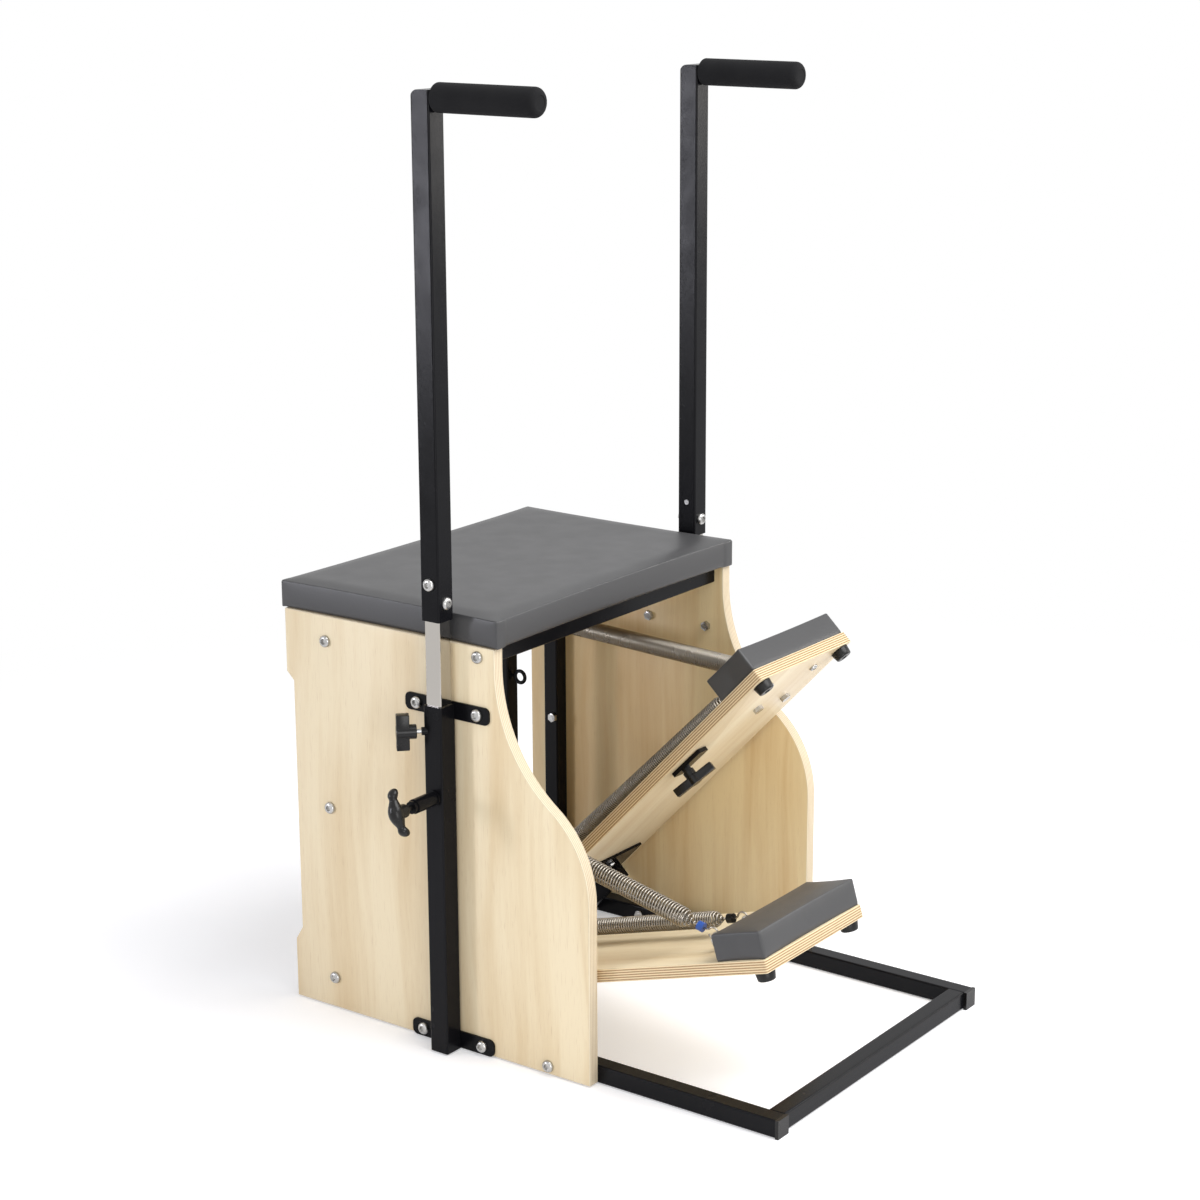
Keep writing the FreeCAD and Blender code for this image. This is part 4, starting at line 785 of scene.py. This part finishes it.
class CHAIR_OT_grips(bpy.types.Operator):
    """Models the foam hand grips"""
    bl_idname = "chair.grips"
    bl_label = "Foam grips"

    def execute(self, context):
        long, r = GRIP_REAR - GRIP_FRONT, GRIP_RADIUS
        front, rear = GRIP_FRONT_ROUND, GRIP_REAR_ROUND
        profile = [(0, 0.0006), (0.0088, 0.0006), (0.0094, 0)] + arc((r - front, front), front, -88, 0, 7)
        profile += [(r, long * k / 6) for k in range(1, 6)]
        profile += arc((r - rear, long - rear), rear, 0, 90, 5) + [(0, long)]
        turned_piece(profile, 48)
        master = settle("foam_grip", 40)
        for hand, side in SIDES.items():
            place = Matrix.Translation((side * HANDLE_X, GRIP_FRONT, GRIP_Z)) @ Matrix.Rotation(-math.pi / 2, 4, "X")
            piece = copy_of(master, place, f"{hand}_foam_grip")
            dress(piece, "black_foam")
            stands_for(piece, f"{hand}_handle", "foam", f"{hand}_grip")
        bpy.data.objects.remove(master)
        return {"FINISHED"}


# Springs: one wire each, loop, neck, coil, neck, loop.
LOOP_SHIFT, REAR_NECK, FRONT_NECK, TURN_POINTS = 0.0032, 0.006, 0.014, 20


def arc_points(centre, way, across, radius, start, stop, step=10):
    count = round(abs(stop - start) / step)
    angles = [math.radians(start + (stop - start) * k / count) for k in range(count + 1)]
    return [centre + (way * math.cos(a) + across * math.sin(a)) * radius for a in angles]


def loop_points(neck, way, across, radius):
    """From the end of a neck round the loop beyond it; way points outward."""
    points = arc_points(neck + across * radius, way, across, radius, -90, -30)
    return points + arc_points(neck + way * math.sqrt(3) * radius, way, across, radius, 150, -140)[1:]


def spring_line(hand, kind):
    """Middle line of a spring's wire, and its two necks."""
    springs = bpy.context.scene.chair_springs
    shift = X * SIDES[hand] * SPRING_ACROSS[kind]
    front = pedal_place(hand) @ (EYE + shift)
    rear = shift + (OUTER_HOOKS[hand] if kind == "outer" else INNER_HOOK)
    way = (front - rear).normalized()
    if kind == "inner":
        rear = rear + way * INNER_HOOK_RING
    upright = way.cross(X).normalized()
    set_back = LOOP_SHIFT + math.sqrt(3) * springs.loop
    rear_neck, front_neck = rear + way * set_back, front - way * set_back
    start, stop = rear_neck + way * REAR_NECK, front_neck - way * FRONT_NECK
    across = way.cross(upright)
    radius = springs.radius if kind == "outer" else springs.inner_radius
    coil = []
    for k in range(springs.turns * TURN_POINTS + 1):
        turn = k / TURN_POINTS
        near = min(turn, springs.turns - turn, springs.taper) / springs.taper
        reach = radius * near * near * (3 - 2 * near)
        phase = math.tau * turn
        spoke = upright * math.cos(phase) + across * math.sin(phase)
        coil.append(start.lerp(stop, turn / springs.turns) + spoke * reach)
    tail = loop_points(rear_neck, -way, upright if kind == "outer" else X, springs.loop)
    return tail[::-1] + coil + loop_points(front_neck, way, upright, springs.loop), rear_neck, front_neck


class CHAIR_OT_springs(bpy.types.Operator):
    """Winds the four coil springs between the pedals and their hooks"""
    bl_idname = "chair.springs"
    bl_label = "Coil springs"

    def execute(self, context):
        springs = context.scene.chair_springs
        for hand in SIDES:
            for kind in SPRING_ACROSS:
                name = f"{hand}_{kind}_spring"
                points, rear, front = spring_line(hand, kind)
                line = bpy.data.curves.new(name + "_wire", "CURVE")
                line.dimensions = "3D"
                wire = line.splines.new("POLY")
                wire.points.add(len(points) - 1)
                for spot, point in zip(wire.points, points):
                    spot.co = (*point, 1)
                line.bevel_depth, line.bevel_resolution, line.use_fill_caps = springs.wire / 2, 2, True
                coil = bpy.data.objects.new(name + "_coil", line)
                context.scene.collection.objects.link(coil)
                pick(coil)
                bpy.ops.object.convert(target="MESH")
                outward()
                piece = settle(name + "_coil", 60)
                dress(piece, "spring_wire")
                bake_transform(piece)
                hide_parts(name)
        return {"FINISHED"}


# Fasteners.
def bolt_head():
    """A button head on the plane z = 0 with a hexagon socket."""
    rounding = arc((HEAD_RADIUS - HEAD_ROUND, HEAD_HIGH - HEAD_ROUND), HEAD_ROUND, 0, 90, 6)
    head = turned_piece([(0, 0), (HEAD_RADIUS, 0)] + rounding + [(0, HEAD_HIGH)])
    start_clean()
    bpy.ops.mesh.primitive_cylinder_add(vertices=6, radius=SOCKET_RADIUS, depth=SOCKET_LONG, location=Z * SOCKET_Z)
    socket = bpy.context.object
    pick(head)
    modify("BOOLEAN", operation="DIFFERENCE", object=socket, solver="EXACT")
    bpy.data.objects.remove(socket)
    return settle("bolt_head", 40)


def bolt_nut():
    """A hexagon nut below the plane z = 0 with the end of the thread."""
    start_clean()
    bpy.ops.mesh.primitive_cylinder_add(vertices=6, radius=NUT_RADIUS, depth=NUT_HIGH, location=-Z * NUT_HIGH / 2)
    bpy.ops.object.transform_apply(location=True)
    edit_mode("EDGE")
    choose("edges", lambda e: abs(e.verts[0].co.z - e.verts[1].co.z) < 1e-6)
    bpy.ops.mesh.bevel(offset=NUT_EASE, segments=2)
    choose("faces", lambda f: f.normal.z < -0.99)
    bpy.ops.mesh.inset(thickness=THREAD_INSET)
    bpy.ops.mesh.extrude_region_move(TRANSFORM_OT_translate={"value": -Z * THREAD_END})
    return settle("bolt_nut", 30)


def bolt_shank(grip):
    start_clean()
    bpy.ops.mesh.primitive_cylinder_add(vertices=16, radius=SHANK_RADIUS, depth=grip, location=-Z * grip / 2)
    return settle("bolt_shank", 30)


def bolt_group(name, places, scale=1.0):
    """Bolts at their places as one piece."""
    head, nut = bolt_head(), bolt_nut()
    made = []
    for k, (point, out, grip, *tapped) in enumerate(places):
        turn = out.to_track_quat("Z", "Y").to_matrix().to_4x4() @ Matrix.Rotation(0.7 * k, 4, "Z")
        place = Matrix.Translation(point) @ turn
        size = Matrix.Scale(scale, 4)
        made.append(copy_of(head, place @ size @ Matrix.Scale(HEAD_GAIN, 4)))
        if not tapped:
            made.append(copy_of(nut, place @ Matrix.Translation((0, 0, -grip)) @ size))
        shank = bolt_shank(grip)
        place_mesh(shank, place @ Matrix.Diagonal((scale, scale, 1, 1)))
        made.append(shank)
    for master in (head, nut):
        bpy.data.objects.remove(master)
    return joined(made, name)


class CHAIR_OT_bolts(bpy.types.Operator):
    """Models the bolts with socket heads and nuts"""
    bl_idname = "chair.bolts"
    bl_label = "Bolts"

    def execute(self, context):
        groups = [("side_bolts", "frame", "panel_bolts", panel_bolt_places(-1) + panel_bolt_places(1), 1.0),
                  ("sleeve_bolts", "frame", "strap_bolts", strap_bolt_places(-1) + strap_bolt_places(1), 1.0)]
        for hand, side in SIDES.items():
            groups.append((f"{hand}_tube_bolts", f"{hand}_handle", f"{hand}_handle_bolts",
                           handle_bolt_places(side), 1.0))
            groups.append((f"{hand}_hinge_bolts", f"{hand}_pedal", f"{hand}_pedal_bolts",
                           pedal_bolt_places(hand), PEDAL_BOLT_SCALE))
        for name, body, cad, places, scale in groups:
            piece = bolt_group(name, places, scale)
            dress(piece, "zinc_plate")
            stands_for(piece, body, "zinc", cad)
        return {"FINISHED"}


class CHAIR_OT_bumpers(bpy.types.Operator):
    """Models the rubber bumpers under the pedals"""
    bl_idname = "chair.bumpers"
    bl_label = "Rubber bumpers"

    def execute(self, context):
        profile = [(0, 0.005), (0.0036, 0.005), (0.0042, 0.0004), (0.005, 0)]
        profile += arc((0.0094, 0.0026), 0.0026, -90, 0, 5)
        profile += [(0.0135, BUMPER_HIGH - 0.0005), (0.0132, BUMPER_HIGH), (0, BUMPER_HIGH)]
        turned_piece(profile, 40)
        master = settle("bumper", 40)
        for hand, side in SIDES.items():
            feet = [copy_of(master, Matrix.Translation((side * across, deep, PEDAL_LOW.z - BUMPER_HIGH)))
                    for across, deep in BUMPER_SPOTS]
            piece = joined(feet, f"{hand}_rubber_feet")
            place_mesh(piece, pedal_place(hand))
            dress(piece, "bumper_rubber")
            stands_for(piece, f"{hand}_pedal", "black_rubber", f"{hand}_pedal_bumpers")
        bpy.data.objects.remove(master)
        return {"FINISHED"}


def pull_shape(side):
    """A moulded pull: a bar thick in the middle with a ball at each end, bowed outward, on a round hub."""
    ball, far = 0.0075, 0.0255
    half = [(0.0104, 0), (0.0101, 0.0045), (0.0087, 0.0100), (0.0066, 0.0152), (0.0054, 0.0188)]
    half += arc((0, far), ball, -35, 90, 9)
    bar = turned_piece([(r, -z) for r, z in half[:0:-1]] + half, 32)
    for point in bar.data.vertices:
        point.co.x -= point.co.z ** 2 / (2 * PULL_BOW)
    place_mesh(bar, Matrix.Rotation(-side * math.radians(PULL_TURN), 4, "X"))
    neck = [(0, -0.018), (0.0088, -0.018), (0.0095, -0.0172), (0.0095, 0), (0, 0.006)]
    hub = turned_piece(neck, 32)
    place_mesh(hub, Matrix.Rotation(math.pi / 2, 4, "Y"))
    pull = joined([bar, hub], "pull")
    modify("REMESH", mode="VOXEL", voxel_size=0.0008)
    modify("SMOOTH", factor=0.5, iterations=8)
    turn = Matrix.Rotation(0 if side > 0 else math.pi, 4, "Z")
    place_mesh(pull, Matrix.Translation((side * PULL_X, HANDLE_Y, PULL_Z)) @ turn)
    return pull


class CHAIR_OT_pulls(bpy.types.Operator):
    """Models the moulded pulls of the plungers"""
    bl_idname = "chair.pulls"
    bl_label = "Plunger pulls"

    def execute(self, context):
        for hand, side in SIDES.items():
            piece = pull_shape(side)
            settle(f"{hand}_moulded_pull", 60)
            dress(piece, "moulded_plastic")
            stands_for(piece, f"{hand}_plunger", "black_plastic", f"{hand}_plunger_pull")
        return {"FINISHED"}


def bar_knob(name, profile, bar, turn=0.0):
    """A bar, narrower at its ends, across a round hub that is turned about Z from its profile."""
    hub = turned_piece(profile, 40)
    wide, long, start, stop = bar
    block((0, 0, (start + stop) / 2), (wide, long, stop - start))
    choose_along(1)
    bpy.ops.mesh.subdivide(number_cuts=1)
    choose("verts", lambda v: abs(v.co.y) > 1e-4)
    bpy.ops.transform.resize(value=(BAR_TAPER, 1, 1), center_override=(0, 0, 0))
    bpy.ops.mesh.select_all(action="SELECT")
    bpy.ops.mesh.bevel(offset=BAR_EASE, segments=2)
    object_mode()
    place_mesh(bpy.context.object, Matrix.Rotation(turn, 4, "Z"))
    modify("BOOLEAN", operation="UNION", object=hub, solver="EXACT")
    bpy.data.objects.remove(hub)
    outward()
    return settle(name, 30)


def clamp_profiles():
    """Profiles of a clamp knob's hub and of its screw."""
    near, top, r, ease = CLAMP_NEAR, CLAMP_TOP, CLAMP_RADIUS, CLAMP_EASE
    hub = [(0, near), (r - ease, near), (r, near + ease), (r, top - ease), (r - ease, top), (0, top)]
    r, ease, end, inside = SCREW_RADIUS, SCREW_EASE, -SCREW_RADIUS, near + SCREW_INTO_HUB
    return hub, [(0, end), (r - ease, end), (r, end + ease), (r, inside), (0, inside)]


def turn_profile():
    """Profile of the turn knob: hub, collar, screw through the board and head on top."""
    hub = [(0, -0.0124), (0.0092, -0.0124), (0.0100, -0.0116), (0.0092, 0.0002), (0.0085, 0.0010),
           (0.0085, 0.0087), (0.0077, 0.0095)]
    collar = [(0.0065, 0.0095), (0.0065, 0.0135)]
    screw = [(SCREW_RADIUS, 0.0135), (SCREW_RADIUS, 0.0385)]
    head = [(0.009, 0.0385), (0.009, 0.0407), (0.0082, 0.0415), (0, 0.0415)]
    return hub + collar + screw + head


class CHAIR_OT_knobs(bpy.types.Operator):
    """Models the bar knobs of the clamps and of the turn plate"""
    bl_idname = "chair.knobs"
    bl_label = "Bar knobs"

    def execute(self, context):
        hub, thread = clamp_profiles()
        knob = bar_knob("bar_knob", hub, CLAMP_BAR)
        turned_piece(thread, 24)
        bolt = settle("knob_screw", 30)
        for hand, side in SIDES.items():
            way = Vector((side, 1, 0)).normalized()
            place = Matrix.Translation((side * CLAMP_SPOT.x, CLAMP_SPOT.y, CLAMP_SPOT.z))
            place = place @ Matrix((Z.cross(way), Z, way)).transposed().to_4x4()
            piece = copy_of(knob, place, f"{hand}_bar_knob")
            dress(piece, "moulded_plastic")
            stands_for(piece, f"{hand}_clamp", "black_plastic", f"{hand}_clamp_knob")
            screw = copy_of(bolt, place, f"{hand}_knob_screw")
            dress(screw, "zinc_plate")
            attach(screw, f"{hand}_clamp")
        for master in (knob, bolt):
            bpy.data.objects.remove(master)
        piece = bar_knob("turn_bar_knob", turn_profile(), TURN_BAR, TURN_ANGLE)
        place_mesh(piece, pedal_place("right") @ Matrix.Translation(TURN_SPOT))
        dress(piece, "moulded_plastic")
        stands_for(piece, "turn_knob", "black_plastic", "turn_knob")
        return {"FINISHED"}


class CHAIR_OT_finishes(bpy.types.Operator):
    """Gives every piece that keeps its own shape its finish"""
    bl_idname = "chair.finishes"
    bl_label = "Finishes of the frame"

    def execute(self, context):
        marks = [(word, "moulded_plastic") for word in ("plunger_pin", "collar", "end_caps")]
        marks += [("inner_tube", "chrome_plate"), ("seat_board", "birch_face"), ("pedal_eyes", "zinc_plate")]
        for name, item in NODES.items():
            if item.hide_render:
                continue
            finish = next((word for mark, word in marks if name.endswith(mark)), "powder_coat")
            if name == "left_outer_spring_collar":
                finish = "collar_plastic"
            dress(item, finish)
        return {"FINISHED"}


# Stage. Lamps: name, place, target, width, height, watts and tint.
LAMPS = (
    ("key_box", (-3.4, -0.6, 2.6), (0, 0.05, 0.5), 2.2, 2.2, 8, (1, 1, 1)),
    ("front_box", (-2.0, -2.7, 0.9), (0, 0, 0.4), 1.6, 1.6, 30, (1, 1, 1)),
    ("top_box", (0.4, -1.6, 3.2), (0, 0, 0.4), 2.4, 2.4, 104, (1, 1, 1)),
    ("cool_strip", (-2.9, 2.3, 1.05), (-0.3, 0.1, 1.0), 0.35, 1.2, 34, (0.90, 0.90, 1.0)),
    ("warm_strip", (2.8, -2.05, 1.5), (2.8, 0.5, 1.5), 1.4, 1.4, 48, (1.0, 0.96, 0.92)),
)
CAMERA_SPOT, CAMERA_YAW, CAMERA_TILT, CAMERA_ROLL = (-2.84194, -2.02344, 1.52464), -53.81, 75.32, -0.22
CAMERA_SHIFT, SENSOR = (-0.00314, -0.01216), 36
FLOOR_SIZE, FLOOR_LIFT, FLOOR_FADE_START, FLOOR_FADE_STOP = 160, 0.31, 0.7, 2.2
WHITE = (1, 1, 1, 1)


def soft_box(name, spot, target, wide, tall, power, tint):
    light = bpy.data.lights.new(name, "AREA")
    light.shape, light.size, light.size_y = "RECTANGLE", wide, tall
    light.energy, light.color = power, tint
    lamp = bpy.data.objects.new(name, light)
    lamp.location = spot
    lamp.rotation_mode = "QUATERNION"
    lamp.rotation_quaternion = (Vector(target) - Vector(spot)).to_track_quat("-Z", "Y")
    bpy.context.scene.collection.objects.link(lamp)


def seen_directly(tree):
    """1 for rays from the camera, mirrors and glass, else 0."""
    path = tree.nodes.new("ShaderNodeLightPath").outputs
    seen = maths(tree, "MAXIMUM", path["Is Camera Ray"], path["Is Glossy Ray"])
    return maths(tree, "MAXIMUM", seen, path["Is Transmission Ray"])


def studio_floor(stage):
    """A pale floor that keeps the shadow near the chair and fades to white."""
    start_clean()
    bpy.ops.mesh.primitive_plane_add(size=FLOOR_SIZE)
    floor = settle("studio_floor")
    finish = bpy.data.materials.new("studio_floor")
    finish.use_nodes = True
    tree = finish.node_tree
    tree.nodes.clear()
    spot = tree.nodes.new("ShaderNodeTexCoord").outputs["Object"]
    away = node(tree, "VectorMath", {0: spot}, operation="LENGTH").outputs["Value"]
    far = node(tree, "MapRange", {"Value": away, "From Min": FLOOR_FADE_START, "From Max": FLOOR_FADE_STOP},
               interpolation_type="SMOOTHSTEP").outputs[0]
    matt = node(tree, "BsdfDiffuse", {"Color": solid(stage.floor)}).outputs[0]
    lift = node(tree, "Emission", {"Color": WHITE, "Strength": FLOOR_LIFT}).outputs[0]
    lifted = node(tree, "AddShader", {0: matt, 1: lift}).outputs[0]
    white = node(tree, "Emission", {"Color": WHITE, "Strength": 1.0}).outputs[0]
    shown = node(tree, "MixShader", {0: far, 1: lifted, 2: white}).outputs[0]
    both = node(tree, "MixShader", {0: seen_directly(tree), 1: matt, 2: shown}).outputs[0]
    node(tree, "OutputMaterial", {"Surface": both})
    dress(floor, finish.name)


def studio_world(stage):
    """White where it is seen, and an even light from all round."""
    world = bpy.data.worlds.new("studio")
    world.use_nodes = True
    tree = world.node_tree
    ground = tree.nodes["Background"]
    ground.inputs["Color"].default_value = WHITE
    tree.links.new(maths(tree, "MAXIMUM", seen_directly(tree), stage.sky), ground.inputs["Strength"])
    bpy.context.scene.world = world


def photo_camera(stage):
    """A camera where the photograph was taken from."""
    lens = bpy.data.cameras.new("photo_camera")
    lens.sensor_width, lens.lens = SENSOR, stage.lens
    lens.shift_x, lens.shift_y = CAMERA_SHIFT
    camera = bpy.data.objects.new("photo_camera", lens)
    turns = [Matrix.Rotation(math.radians(angle), 4, axis)
             for angle, axis in ((CAMERA_YAW, "Z"), (CAMERA_TILT, "X"), (CAMERA_ROLL, "Z"))]
    camera.matrix_world = Matrix.Translation(CAMERA_SPOT) @ turns[0] @ turns[1] @ turns[2]
    bpy.context.scene.collection.objects.link(camera)
    bpy.context.scene.camera = camera


class CHAIR_OT_stage(bpy.types.Operator):
    """Sets the floor, the light and the camera"""
    bl_idname = "chair.stage"
    bl_label = "Stage"

    def execute(self, context):
        stage = context.scene.chair_stage
        studio_floor(stage)
        studio_world(stage)
        for lamp in LAMPS:
            soft_box(*lamp)
        photo_camera(stage)
        context.scene.view_settings.view_transform = "Standard"
        return {"FINISHED"}


class CHAIR_PT_looks(bpy.types.Panel):
    """Lists the pieces of the chair"""
    # Shows a button for each step and the chair's settings
    bl_idname = "CHAIR_PT_looks"
    bl_label = "Pilates chair"
    bl_space_type = "VIEW_3D"
    bl_region_type = "UI"
    bl_category = "Chair"

    def draw(self, context):
        for step in STEPS:
            self.layout.operator(step.bl_idname)
        for word in GROUPS:
            box = self.layout.box()
            settings = getattr(context.scene, word)
            for item in settings.bl_rna.properties:
                if item.identifier not in ("rna_type", "name"):
                    box.prop(settings, item.identifier)


GROUPS = {"chair_wood": ChairWood, "chair_metal": ChairMetal, "chair_soft": ChairSoft,
          "chair_springs": ChairSprings, "chair_stage": ChairStage}
STEPS = (CHAIR_OT_sides, CHAIR_OT_pedal_boards, CHAIR_OT_seat, CHAIR_OT_pads, CHAIR_OT_grips, CHAIR_OT_springs,
         CHAIR_OT_bolts, CHAIR_OT_pulls, CHAIR_OT_knobs, CHAIR_OT_bumpers, CHAIR_OT_finishes, CHAIR_OT_stage)


def register():
    for item in (*GROUPS.values(), *STEPS, CHAIR_PT_looks):
        bpy.utils.register_class(item)
    for word, group in GROUPS.items():
        setattr(bpy.types.Scene, word, PointerProperty(type=group))


def unregister():
    for word in GROUPS:
        delattr(bpy.types.Scene, word)
    for item in reversed((*GROUPS.values(), *STEPS, CHAIR_PT_looks)):
        bpy.utils.unregister_class(item)


def main():
    register()
    for step in STEPS:
        kind, word = step.bl_idname.split(".")
        getattr(getattr(bpy.ops, kind), word)()


if __name__ == "__main__":
    main()
